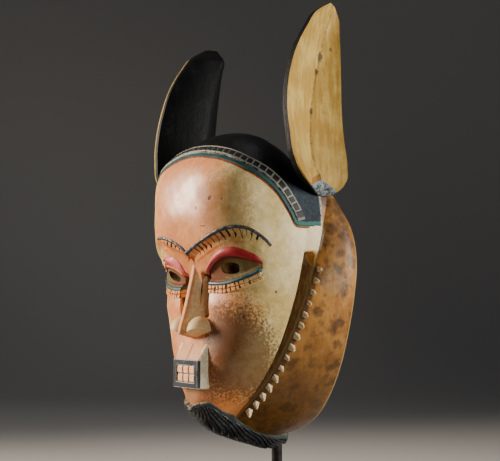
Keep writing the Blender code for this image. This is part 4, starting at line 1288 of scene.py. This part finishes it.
def hair_colour(finish):
    """The glossy black of the hair, scuffed to grey and brown."""
    wide = finish.noise(22, 4)
    fine = finish.noise(2.0, 4, rough=0.7)
    colour = finish.mix(finish.step(wide + fine * 0.4, 0.72, 1.0) * 0.35, HAIR, paint(48, 50, 52))
    scuff = finish.step(finish.noise(7, 5, rough=0.75, shift=3), 0.66, 0.74)
    colour = finish.mix(scuff * 0.5, colour, paint(92, 84, 74))
    tool = finish.noise(9, 2, (1.0, 1.0, 0.35))
    return colour, wide * 0.7 + fine * 0.12 + tool * 0.8, 0.34 + fine * 0.16 + scuff * 0.2


def collar_colour(finish):
    """Ochre with dark smudged spots, rubbed along the edges, and a pale patch on one side that is a painted
    reflection.
    """
    wide = finish.noise(26, 3)
    close = finish.noise(5, 4)
    fine = finish.noise(1.4, 3, rough=0.7)
    grain = finish.noise(4, 3, (1, 1, 0.14), shift=5)
    colour = finish.mix(finish.step(wide + (close - 0.5) * 0.5, 0.3, 0.7), OCHRE, LIGHT_OCHRE)
    near = finish.cells(13.5, 0.75)
    size = finish.noise(36, 1, shift=60)
    spot = 1 - finish.step(near + (close - 0.5) * 0.42 - (size - 0.5) * 0.45, 0.24, 0.56)
    worn = finish.step(finish.noise(9, 4, rough=0.7, shift=12), 0.26, 0.66)
    colour = finish.mix(spot * (0.35 + worn * 0.45), colour, SPOT)
    small = 1 - finish.step(finish.cells(7.0, 0.7, shift=20) + (close - 0.5) * 0.4, 0.12, 0.40)
    colour = finish.mix(small * 0.42, colour, paint(78, 46, 20))
    low = 1 - finish.step(finish.z + (wide - 0.5) * 40, -140, -30)
    colour = finish.mix(low * 0.82, colour, paint(66, 42, 14))
    high = finish.step(finish.z + (wide - 0.5) * 20, -14, 6)
    colour = finish.mix(high * finish.step(close, 0.36, 0.6) * 0.5, colour, paint(74, 52, 42))
    # A pale grey patch low on the collar's near side: a painted reflection of the lamp behind that side
    reflection_gap = finish.node("ShaderNodeVectorMath", {"operation": "DISTANCE"}, {0: finish.place, 1: (92, 16, -26)},
                         out="Value")
    chalk_and_painted_light = (1 - finish.step(reflection_gap + (close - 0.5) * 22, 7, 17)) * finish.step(fine + close, 0.8, 1.15)
    colour = finish.mix(chalk_and_painted_light * 0.5, colour, paint(140, 142, 128))
    colour = finish.tint(colour, 0.80 + grain * 0.24 + fine * 0.14)
    return colour, close * 0.30 + grain * 0.25 + wide * 0.8


def head_finish():
    finish = Finish("painted head")
    face, face_height, face_rough = face_colour(finish)
    hair, hair_height, hair_rough = hair_colour(finish)
    collar, collar_height = collar_colour(finish)
    close = finish.noise(3.0, 4, rough=0.7, shift=2)
    fine = finish.noise(1.2, 3, rough=0.75)
    blur = (close - 0.5) * 1.6

    sunk = finish.value("sunk")
    eye = finish.value("eye")
    hair_edge = finish.value("hair")
    collar_edge = finish.value("collar")
    depth = finish.value("depth")

    # Dirt and painted shade in the sockets and creases, stronger the deeper they sink; the deepest hollows
    # painted near black as shadow
    grime_and_shade = finish.step(sunk + blur, 2.6, 7.0)
    colour = finish.mix(grime_and_shade * 0.35, face, paint(112, 60, 26))
    colour = finish.mix(finish.step(sunk, 6.6, 8.6), colour, paint(34, 20, 10))
    # Painted shadow cast by the nose into the crease beside it
    crease = finish.step(sunk + blur * 0.3, 1.8, 3.6) * (1 - finish.step(abs(finish.x), 21.5, 23))
    crease = crease * finish.step(-finish.z, 26, 34)
    colour = finish.mix(crease * 0.95, colour, paint(40, 22, 10))
    outer = finish.step(abs(finish.x) + finish.noise(12, 3, shift=8) * 16, 40, 58)
    white = finish.mix(outer, paint(106, 56, 18), OLIVE)
    white_share = finish.step(eye, -0.4, 0.4)
    colour = finish.mix(white_share, colour, white)

    temple = finish.step(finish.y + blur * 0.3, -14.4, -13.4) * finish.step(finish.z, -6, -4)
    colour = finish.mix(temple * 0.4, colour, PALE)
    behind = finish.step(collar_edge, -0.5, 0.5)
    colour = finish.mix(behind, colour, collar)

    side_panel = finish.step(hair_edge + blur * 0.5, -0.3, 0.3)
    panel = finish.step(finish.y, -34, -22) * (1 - finish.step(finish.z + finish.y * 0.35, 47, 50))
    slate = finish.mix(finish.step(close + fine * 0.5, 0.6, 0.95), SLATE, PALE_SLATE)
    crown = finish.mix(panel, hair, slate)
    colour = finish.mix(side_panel, colour, crown)

    raw = finish.step(depth, 1.0, 2.0)
    front, rear = edge_y(finish.z), collar_y(finish.z)
    share = ((GROOVE_TOP[1] - finish.z) / GROOVE_FACET).high(0.0).low(1.0)
    facet = finish.step(finish.y - front - 6.6 - (rear - front - 6.6) * share, -0.3, 0.3)
    facet = facet * finish.step(finish.z, GROOVE_TOP[1] - GROOVE_FACET - 0.8, GROOVE_TOP[1] - GROOVE_FACET)
    facet = facet * (1 - finish.step(finish.y, 8, 9))
    colour = finish.mix(facet * finish.step(depth, 0.6, 1.2), colour, finish.tint(OCHRE, 0.7 + close * 0.7))
    raw = raw * (1 - facet)
    grain = finish.noise(3.5, 4, (1.0, 1.0, 0.2), rough=0.65)
    wood = finish.mix(finish.step(grain, 0.35, 0.7), DARK_WOOD, RAW_WOOD)
    colour = finish.mix(raw, colour, wood)
    below = 1 - finish.step(finish.z, 2, 8)
    shaded = finish.step(collar_edge, -1.2, -0.4) * (1 - finish.step(collar_edge + blur * 0.6, 3.2, 5.0))
    shaded = shaded * below
    colour = finish.mix(shaded * (1 - facet) * 0.8, colour, paint(74, 48, 22))
    lip = 1 - finish.step(abs(collar_edge + 0.3) + blur * 0.2, 0.2, 0.6)
    lip = lip * below * (1 - finish.step(depth, 1.4, 2.4))
    colour = finish.mix(lip * 0.55, colour, paint(150, 120, 70))
    corner = (1 - finish.step(abs(collar_edge) + blur * 0.5, 0.6, 1.7)) * finish.step(finish.z, -2, 4)
    corner = corner * (1 - finish.step(finish.z, 46, 50))
    colour = finish.mix(corner * finish.step(close, 0.35, 0.6) * 0.75, colour, CHALK)
    back = finish.step(finish.y + blur * 0.4, 36.2, 37.3)
    colour = finish.mix(back * 0.7, colour, paint(188, 150, 92))

    haired = side_panel.high(0.0)
    height = finish.level(haired, finish.level(behind, face_height, collar_height), hair_height)
    height = height + raw * grain * 1.2
    rough = finish.level(haired, face_rough, hair_rough)
    rough = rough + raw * 0.3 + panel * side_panel * 0.3
    shine = finish.level(side_panel.high(behind), 0.24, 0.06)
    shine = shine * (1 - white_share.high(crease) * 0.85) * (1 - panel * side_panel)
    return finish.coat(colour, rough + white_share * 0.25, height, coat=shine, coat_rough=0.22)


def face_finish(name, extra=None):
    """The face's paint on a piece of its own, with extra marks laid over it."""
    finish = Finish(name)
    colour, height, rough = face_colour(finish)
    if extra:
        colour, height, rough = extra(finish, colour, height, rough)
    return finish.coat(colour, rough + 0.08, height, coat=0.06, coat_rough=0.3, specular=0.22)


def hatch_marks(finish, colour, height, rough):
    level = finish.value("height")
    over = finish.step(finish.value("across"), 0.9, 1.3) * (1 - finish.step(finish.value("across"), 8.2, 9.0))
    share = finish.value("along")
    over = over * finish.step(share, 0.08, 0.12) * (1 - finish.step(share, 0.90, 0.93))
    cutting = (1 - finish.step(level, 0.45, 0.72)) * over
    blur = finish.noise(3.2, 3) + (1 - finish.step(share, 0.62, 0.78)) * 0.16
    colour = finish.mix(cutting * finish.step(blur, 0.30, 0.50), colour, paint(26, 15, 10))
    return colour, height, rough + cutting * 0.2


def comb_marks(finish, colour, height, rough):
    level = finish.value("height")
    blur = finish.noise(3.5, 3)
    colour = finish.mix(finish.step(level, 0.8, 1.2) * 0.6, colour, paint(212, 146, 90))
    cutting = (1 - finish.step(level, 0.5, 0.95)) * finish.step(finish.value("across"), 1.5, 1.9)
    cutting = cutting * (1 - finish.step(finish.value("across"), 7.6, 8.1))
    inner = 1 - finish.step(finish.value("along"), 0.55, 0.8)
    dark_cut = cutting * finish.step(blur + inner * 0.2, 0.42, 0.66) * 0.9
    colour = finish.mix(dark_cut, colour, paint(48, 28, 16))
    return colour, height, rough + cutting * 0.2


def line_finish(name, main, other, worn, rough=0.42):
    """Paint on a raised line, worn on its crown."""
    finish = Finish(name)
    wide = finish.noise(9, 3)
    fine = finish.noise(1.6, 4, rough=0.7)
    colour = finish.mix(finish.step(wide, 0.35, 0.65), main, other)
    crown = finish.step(finish.value("height"), 1.1, 1.6) * finish.step(wide + fine * 0.6, 0.72, 0.95)
    colour = finish.mix(crown * 0.7, colour, worn)
    colour = finish.tint(colour, 0.8 + fine * 0.4)
    return finish.coat(colour, rough + fine * 0.15, fine * 0.35 + wide * 0.3, coat=0.2)


def band_finish():
    """Orange, teal, a rubbed white edge and the black ladder."""
    finish = Finish("hair band paint")
    t = finish.value("across")
    level = finish.value("height")
    wide = finish.noise(16, 3)
    close = finish.noise(3.0, 4, rough=0.7)
    fine = finish.noise(1.2, 3, rough=0.75)
    blur = (close - 0.5) * 0.5
    face, hair = face_colour(finish)[0], hair_colour(finish)[0]
    orange = finish.mix(finish.step(close, 0.35, 0.7), paint(112, 44, 6), paint(156, 76, 16))
    colour = finish.mix(1 - finish.step(t + blur, 1.3, 1.7), face, orange)
    teal = finish.mix(finish.step(wide, 0.35, 0.65), TEAL, DEEP_TEAL)
    colour = finish.mix(1 - finish.step(t + blur * 0.6, -0.1, 0.2), colour, teal)
    low_edge = 1 - finish.step(t + blur * 0.4, -3.9, -3.5)
    colour = finish.mix(low_edge, colour, finish.mix(0.5, hair, BLUE_BLACK))
    far = finish.step(-finish.x, -26, 22)
    chalk_and_painted_light = 1 - finish.step(abs(t + 4.3) + blur, 0.35, 0.95)
    chalk_and_painted_light = chalk_and_painted_light * finish.step(close + far * 0.35 + wide * 0.2, 0.50, 0.78)
    colour = finish.mix(chalk_and_painted_light * 0.9, colour, CHALK)
    body = (1 - finish.step(t, -4.6, -4.2)) * finish.step(t, -13.4, -12.9)
    cutting = (1 - finish.step(level, 1.66, 1.96)) * body
    pale_cut = cutting * finish.step(close + fine * 0.4, 0.30, 0.66) * 0.9
    colour = finish.mix(pale_cut, colour, paint(150, 146, 134))
    colour = finish.tint(colour, 0.85 + fine * 0.3)
    return finish.coat(colour, 0.42 + fine * 0.2, close * 0.35 + fine * 0.12, coat=0.04, specular=0.22)


def temple_finish():
    finish = Finish("temple line paint")
    t = finish.value("across")
    close = finish.noise(3.0, 4, rough=0.7)
    fine = finish.noise(1.2, 3, rough=0.75)
    blur = (close - 0.5) * 0.5
    orange = finish.mix(finish.step(close, 0.35, 0.7), paint(128, 74, 30), paint(150, 98, 50))
    teal = finish.mix(finish.step(close + fine, 0.7, 1.2), TEAL, paint(62, 112, 104))
    colour = finish.mix(1 - finish.step(t + blur, 0.0, 0.3), orange, teal)
    colour = finish.mix(1 - finish.step(t + blur * 0.5, -3.5, -3.1), colour, paint(36, 40, 44))
    return finish.coat(colour, 0.52 + fine * 0.15, close * 0.35, specular=0.2)


def lid_finish():
    finish = Finish("lid paint")
    down = finish.value("down")
    wide = finish.noise(11, 4)
    fine = finish.noise(1.7, 4, rough=0.7)
    # Rose and crimson paint, with crimson taking over towards the lower and outer side as painted shade
    outer = finish.step(abs(finish.x), 24, 56)
    colour = finish.mix(finish.step(wide * 0.6 + down * 0.25 + outer * 0.5, 0.45, 0.95), ROSE, CRIMSON)
    rub = finish.step(finish.noise(5, 4, (1, 1, 0.5), shift=9), 0.60, 0.75)
    colour = finish.mix(rub * 0.35, colour, paint(196, 104, 96))
    colour = finish.tint(colour, 0.74 + fine * 0.4)
    # Painted shadow along the lid's lower edge, under its overhang
    colour = finish.mix(finish.step(down, 0.86, 0.95) * 0.85, colour, paint(40, 18, 14))
    return finish.coat(colour, 0.42 + fine * 0.15, fine * 0.25 + wide * 0.4, coat=0.12)


EAR_STROKES = [((82.5, 9, 172), 2.2, (2, 2, 3.4)), ((82, 5, 158), 1.6, (2, 2, 3.2)),
               ((82, -1, 122), 1.5, (2, 2, 3.4)),
               ((82, -3, 92), 1.5, (2, 2, 3)), ((85, 20, 179), 1.5, (2, 2, 4)),
               ((88, 25, 176), 1.6, (2, 3, 2))]


def ear_finish():
    """Cream inside, black outside, darker in patches along the valley, with a rubbed rim."""
    finish = Finish("ear paint")
    inner = finish.value("inner")
    edge = finish.value("edge")
    valley = finish.value("valley")
    wide = finish.noise(24, 3)
    close = finish.noise(4, 4, rough=0.65)
    fine = finish.noise(1.3, 4, rough=0.75)
    grain = finish.noise(3.6, 3, (1, 1, 0.12), shift=4)
    blur = (close - 0.5) * 2.2
    bright = finish.step(wide + (grain - 0.5) * 0.6, 0.35, 0.7)
    cream = finish.mix(bright, paint(184, 146, 68), paint(212, 180, 100))
    # Darker patches along the valley
    valley_patches = (1 - finish.step(valley + blur * 1.2, 0.4, 2.6)) * finish.step(close + wide * 0.4, 0.52, 0.85)
    cream = finish.mix(valley_patches * 0.7, cream, paint(92, 66, 34))
    mark = finish.step(finish.noise(4.5, 4, (1.6, 1.6, 0.5), rough=0.7, shift=17), 0.69, 0.77)
    cream = finish.mix(mark * 0.6, cream, paint(84, 58, 36))
    cream = finish.mix((1 - finish.step(finish.z + blur * 4, 62, 120)) * 0.35, cream, paint(126, 96, 48))
    cream = finish.tint(cream, 0.84 + grain * 0.2 + fine * 0.12)
    black = hair_colour(finish)[0]
    rim = (1 - finish.step(edge + blur * 0.5, 0.6, 2.4)) * finish.step(close + wide * 0.3, 0.48, 0.75)
    black = finish.mix(rim * 0.65, black, paint(112, 84, 58))
    within = finish.step(inner, 0.45, 0.55)
    colour = finish.mix(within, black, cream)
    notch = finish.step(finish.y, -14, -13) * (1 - finish.step(finish.y, 0.6, 1.2))
    notch = notch * (1 - finish.step(finish.z - finish.y * 0.45 + blur * 0.2, 65.2, 66.0)) * within
    notched = finish.mix(finish.step(finish.y, -9, -1), OCHRE, paint(98, 64, 26))
    colour = finish.mix(notch * 0.85, colour, notched)
    base = 1 - finish.step(finish.z + abs(finish.y - 1) * 0.38 + blur * 0.2, 59.6, 60.2)
    slate = finish.mix(finish.step(close + fine * 0.4, 0.5, 0.85), SLATE, paint(150, 160, 164))
    colour = finish.mix(base * within, colour, slate)
    for place, reach, stretch in EAR_STROKES:
        colour = finish.mix(finish.spot(place, reach, stretch) * within * 0.8, colour, paint(70, 44, 26))
    height = close * 0.4 + grain * 0.4 - mark * 0.3
    return finish.coat(colour, 0.50 + fine * 0.15, height, specular=0.16)


def beard_finish():
    finish = Finish("beard paint")
    down = finish.value("down")
    strand = finish.value("strand")
    cutting = finish.value("cutting")
    wide = finish.noise(14, 3)
    close = finish.noise(3, 4, rough=0.7)
    fine = finish.noise(1.1, 3, rough=0.75)
    upper = 1 - finish.step(down + (close - 0.5) * 0.12, 0.97, 1.08)
    rear = finish.step(finish.y, -62, -20)
    band = finish.mix(rear * 0.8 + close * 0.2, paint(28, 36, 48), paint(52, 66, 58))
    band = finish.mix(finish.step(close + wide * 0.5, 0.75, 1.0) * 0.6, band, paint(92, 100, 92))
    hair = finish.mix(finish.step(wide, 0.4, 0.7), paint(17, 20, 25), paint(34, 40, 46))
    colour = finish.mix(upper, hair, band)
    crest = (1 - finish.step(strand, 0.10, 0.38)) * finish.step(close + wide * 0.4, 0.66, 0.95) * (1 - upper)
    colour = finish.mix(crest * 0.7, colour, paint(140, 124, 96))
    colour = finish.mix(cutting * 0.8, colour, paint(10, 11, 13))
    top = 1 - finish.step(down + (close - 0.5) * 0.5, 0.20, 0.55)
    colour = finish.mix(top * finish.step(close, 0.38, 0.6) * 0.8, colour, paint(166, 148, 108))
    return finish.coat(colour, 0.40 + fine * 0.2, close * 0.3 + fine * 0.15, coat=0.12)


def edged_finish(name, main, other, worn, wear=0.5):
    """Paint that is rubbed through along the edges that are marked on the faces."""
    finish = Finish(name)
    edge = finish.value("edge")
    close = finish.noise(2.6, 4, rough=0.7)
    wide = finish.noise(10, 3)
    fine = finish.noise(1.0, 3, rough=0.75)
    colour = finish.mix(finish.step(wide + (close - 0.5) * 0.4, 0.35, 0.65), main, other)
    rubbed = (edge * 0.32 + close).low(2.0)
    colour = finish.mix(finish.step(rubbed, 1.0 - wear, 1.12 - wear) * 0.85, colour, worn)
    colour = finish.tint(colour, 0.82 + fine * 0.35)
    return finish.coat(colour, 0.52 + fine * 0.18, close * 0.3 + fine * 0.1, specular=0.18)


def nose_marks(finish, colour, height, rough):
    close = finish.noise(2.6, 4, rough=0.7, shift=5)
    rim = 1 - finish.step(finish.value("rim") + (close - 0.5) * 0.5, 0.3, 1.0)
    # Painted light: the nose's sides pale as lit by the cooler lamp, its ridge salmon as lit by the warm one
    pale_lit_sides = finish.step(abs(finish.x) + (close - 0.5) * 2.0, 2.4, 5.0)
    pale = finish.mix(finish.step(close, 0.35, 0.65), paint(206, 180, 128), paint(226, 204, 156))
    colour = finish.mix(pale_lit_sides * 0.8, colour, pale)
    colour = finish.mix((1 - pale_lit_sides) * 0.5, colour, paint(196, 140, 98))
    # Painted shade under the nose
    under = 1 - finish.step(finish.z - finish.y * 0.05 + (close - 0.5) * 2, -78, -72)
    colour = finish.mix(under * 0.7, colour, paint(128, 76, 36))
    colour = finish.mix(rim * (1 - under) * 0.7, colour, paint(226, 198, 156))
    tip = (1 - finish.step(finish.z + (close - 0.5) * 3, -73, -68)) * (1 - finish.step(finish.y, -82, -79))
    colour = finish.mix(tip * finish.step(close, 0.4, 0.6) * 0.8, colour, paint(120, 84, 52))
    return colour, height, rough


def mouth_marks(finish, colour, height, rough):
    # Painted light: the box's sides near white as lit by the cooler lamp, with fine specks of painted shade from
    # light raking over them
    side = finish.step(abs(finish.x), 16.4, 17.1)
    close = finish.noise(2.6, 4, rough=0.7, shift=5)
    chalk_and_painted_light = finish.mix(finish.step(close, 0.35, 0.65), paint(216, 204, 164), paint(240, 234, 208))
    colour = finish.mix(side * 0.85, colour, chalk_and_painted_light)
    speck = finish.step(finish.noise(1.6, 4, rough=0.75, shift=9), 0.56, 0.68) * side
    colour = finish.mix(speck * 0.55, colour, paint(130, 120, 90))
    shut = 1 - finish.step(finish.y, MOUTH_FRONT_Y + 0.3, MOUTH_FRONT_Y + 0.7)
    # Painted warm light on the box's front and top
    colour = finish.mix((1 - side) * 0.6, colour, paint(208, 142, 86))
    groove = 1 - finish.step(abs(finish.x) + (close - 0.5) * 0.8, 0.5, 1.3)
    groove = groove * finish.step(finish.z, -99, -96)
    colour = finish.mix(groove * 0.55, colour, paint(132, 78, 52))
    colour = finish.mix(shut * 0.95, colour, paint(30, 20, 16))
    return colour, height - groove * 0.8, rough


def steel_finish(name, scale=1.0):
    """Blackened steel, a little rubbed."""
    finish = Finish(name)
    close = finish.noise(5 * scale, 4, rough=0.7)
    fine = finish.noise(0.9, 3, (1, 1, 0.3))
    colour = finish.mix(finish.step(close, 0.35, 0.75), paint(34, 32, 32), paint(58, 54, 52))
    return finish.coat(colour, 0.34 + close * 0.16, fine * 0.05 + close * 0.06, metal=0.85)


PANEL_REAR = [(83, 9.4, 30), (82.5, 9.6, 40), (82, 9.8, 47), (80, 22, 49), (78, 38, 50)]


def head_notes(mesh):
    """What the head's paint needs to know of each point."""
    place = carving_place(mesh)
    x, y, z = np.abs(place[:, 0]), place[:, 1], place[:, 2]
    way = unit(place - CENTRE)
    bare = leave(in_head, way)
    relief = face_relief(bare)
    reach = np.linalg.norm(place - CENTRE, axis=1)
    full = np.linalg.norm(bare - CENTRE, axis=1) + relief
    edge = y - np.minimum(collar_y(z) + 0.3, 9.3)
    on_collar = edge > 0
    outer = np.where(on_collar, rim_reach(place), full)
    depth = np.where(on_collar, outer, full) - reach
    note(mesh, "depth", depth)
    note(mesh, "sunk", -relief)
    near = place[:, 0] > 0
    low, high = (np.where(near, curve(line[1], x), curve(line[-1], x)) for line in (EYE_LOW, LID_LOW))
    eye = np.minimum(z - low + 2.2, high + 1.5 - z)
    eye = np.minimum(eye, np.minimum(x - 17, 72 - x))
    note(mesh, "eye", np.where(y < -20, eye, -9))
    note(mesh, "collar", edge)
    line = along(BAND_LINE, 500)
    over = across(line)
    tail = np.array(TEMPLE_LINE[1:] + PANEL_REAR, float)
    count = len(tail) - 1
    at = np.linspace(0, count, 90)
    tail = np.stack([np.interp(at, np.arange(count + 1), tail[:, k]) for k in range(3)], -1)
    tail_over = across(tail)
    line = np.concatenate([mirrored(tail[::-1], -1), line, tail])
    over = np.concatenate([mirrored(tail_over[::-1], -1), over, tail_over])
    signed = np.empty(len(place))
    for i in range(0, len(place), 4000):
        part = place[i:i + 4000]
        gap = part[:, None] - line[None]
        squared = (gap ** 2).sum(-1)
        near = squared.argmin(1)
        rows = np.arange(len(part))
        side = (gap[rows, near] * over[near]).sum(-1)
        signed[i:i + 4000] = -np.sign(side) * np.sqrt(squared[rows, near])
    note(mesh, "hair", np.where(y > 4, np.maximum(signed, z - 53), signed))


def rim_reach(place):
    """How far the collar's outer surface lies from the middle of the rim, towards each point."""
    turn = np.linspace(-math.pi, math.pi, 241)
    rings = np.array(collar_rings(turn, 12)[2:])
    way = place - CENTRE
    at = np.arctan2(way[:, 2] / SPREAD[2], way[:, 0] / SPREAD[0])
    column = np.interp(at, turn, np.arange(len(turn)))
    low = np.clip(np.floor(column).astype(int), 0, len(turn) - 2)
    share = (column - low)[:, None, None]
    loops = rings[:, low].transpose(1, 0, 2) * (1 - share) + rings[:, low + 1].transpose(1, 0, 2) * share
    gap = np.abs(loops[..., 1] - place[:, None, 1])
    near = gap.argmin(1)
    rows = np.arange(len(place))
    chosen = loops[rows, near]

    def radial(point):
        return np.hypot(point[:, 0] / SPREAD[0], (point[:, 2] - AXIS_Z) / SPREAD[2])

    ratio = radial(chosen) / np.maximum(radial(place), 0.02)
    return np.linalg.norm(way, axis=1) + (ratio - 1) * np.hypot(way[:, 0], way[:, 2])


head = cut(head_mesh(190, 230, 26, 6), [hollow_mesh(60, 76), pupil_mesh(1), pupil_mesh(-1), notch_mesh()])
head_notes(head)
new_piece(head, head_finish())
ear_paint = ear_finish()
for side in (1, -1):
    new_piece(ear_mesh(side), ear_paint)
new_piece(cut(beard_mesh(), [notch_mesh()]), beard_finish())
new_piece(nose_mesh(), face_finish("nose paint", nose_marks))
new_piece(mouth_mesh(), face_finish("mouth paint", mouth_marks))
frame_paint = edged_finish("mouth frame paint", paint(26, 31, 42), paint(46, 50, 58), CHALK, 0.34)
new_piece(mouth_frame_mesh(), frame_paint)
tooth_paint = edged_finish("tooth paint", paint(250, 198, 152), paint(240, 176, 126),
                           paint(250, 220, 188), 0.42)
new_piece(teeth_mesh(), tooth_paint)
new_piece(band_mesh(), band_finish())
temple_paint = temple_finish()
brow_paint = line_finish("brow paint", BLUE_BLACK, paint(40, 44, 50), paint(128, 126, 122))
hatch_paint = face_finish("brow cut paint", hatch_marks)
lid_paint = lid_finish()
line_paint = line_finish("eye line paint", DEEP_TEAL, TEAL, PALE_SLATE)
comb_paint = face_finish("eye comb paint", comb_marks)
for side in (1, -1):
    new_piece(temple_line_mesh(side), temple_paint)
    new_piece(brow_mesh(side), brow_paint)
    new_piece(hatch_mesh(side), hatch_paint, 30)
    new_piece(lid_mesh(side), lid_paint, 50)
    new_piece(lower_line_mesh(side), line_paint)
    new_piece(comb_mesh(side), comb_paint, 30)
wedges(edged_finish("wedge paint", paint(226, 204, 160), paint(196, 166, 114), paint(248, 238, 210), 0.52))

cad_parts["stand_rod"].data.materials[0] = steel_finish("rod steel").material
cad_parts["stand_foot"].data.materials[0] = steel_finish("foot steel", 4).material


def floor_mesh():
    """A level floor that curves up into a backdrop on the far side from the camera."""
    profile = [(-3.0, 0.0), (1.1, 0.0)]
    profile += [(1.1 + 0.8 * math.sin(t), 0.8 - 0.8 * math.cos(t)) for t in np.linspace(0.1, math.pi / 2, 16)]
    profile += [(1.9, 3.6)]
    points = [(far, side, up) for side in (-4.0, 4.0) for far, up in profile]
    mesh = bpy.data.meshes.new("floor")
    count = len(profile)
    mesh.from_pydata(points, [], [(i, i + 1, i + 1 + count, i + count) for i in range(count - 1)])
    return mesh


AZIMUTH, ELEVATION = math.radians(50), math.radians(-3.5)
DISTANCE = 0.795
FOCAL_PIXELS, FRAME_PIXELS, SENSOR = 842, 500, 36
TARGET = Vector(MASK_ORIGIN)
flat = math.cos(ELEVATION)
back = Vector((math.sin(AZIMUTH) * flat, -math.cos(AZIMUTH) * flat, math.sin(ELEVATION)))


def facing(place, back):
    """Where a camera or a lamp stands whose back is turned that way."""
    return Matrix.Translation(place) @ back.to_track_quat("Z", "Y").to_matrix().to_4x4()


floor = bpy.data.objects.new("floor", floor_mesh())
bpy.context.collection.objects.link(floor)
turn = math.atan2(-back.y, -back.x)
floor.data.transform(Matrix.Rotation(turn, 4, "Z"))
floor.data.shade_smooth()
floor_paint = Finish("floor paint")
floor_paint.coat(paint(214, 212, 208), 0.8 + floor_paint.noise(60, 2) * 0.05)
floor.data.materials.append(floor_paint.material)

view = bpy.data.cameras.new("camera")
viewer = bpy.data.objects.new("camera", view)
bpy.context.collection.objects.link(viewer)
view.lens = FOCAL_PIXELS / FRAME_PIXELS * SENSOR
view.shift_x = -0.004
view.shift_y = 0.047
view.clip_start = 0.01
viewer.matrix_world = facing(TARGET + back * DISTANCE, back)
bpy.context.scene.camera = viewer


def lamp(name, place, power, size, spread, colour):
    """A soft upright light, whose light keeps within a spread in degrees."""
    light = bpy.data.lights.new(name, "AREA")
    light.energy, light.spread, light.color = power, math.radians(spread), colour
    light.shape = "RECTANGLE"
    light.size, light.size_y = size
    held = bpy.data.objects.new(name, light)
    bpy.context.collection.objects.link(held)
    held.matrix_world = facing(place, Vector(place) - Vector(LAMP_AIM))


LAMP_AIM = (0, 0, 0.28)
lamp("key", (-1.05, -0.95, 0.66), 5.6, (0.26, 0.75), 50, (1.0, 0.87, 0.72))
lamp("fill", (1.10, 0.76, 0.42), 1.95, (0.5, 0.6), 50, (1.0, 0.97, 0.92))
lamp("side", (1.25, -0.22, 0.42), 0.45, (0.5, 0.5), 50, (1.0, 0.95, 0.88))
lamp("top", (0.2, 0.1, 1.7), 0.5, (1.0, 1.0), 80, (1.0, 0.98, 0.95))
world = bpy.data.worlds.new("room")
bpy.context.scene.world = world
world.use_nodes = True
world.node_tree.nodes["Background"].inputs["Color"].default_value = (0.9, 0.92, 1.0, 1)
world.node_tree.nodes["Background"].inputs["Strength"].default_value = 0.05
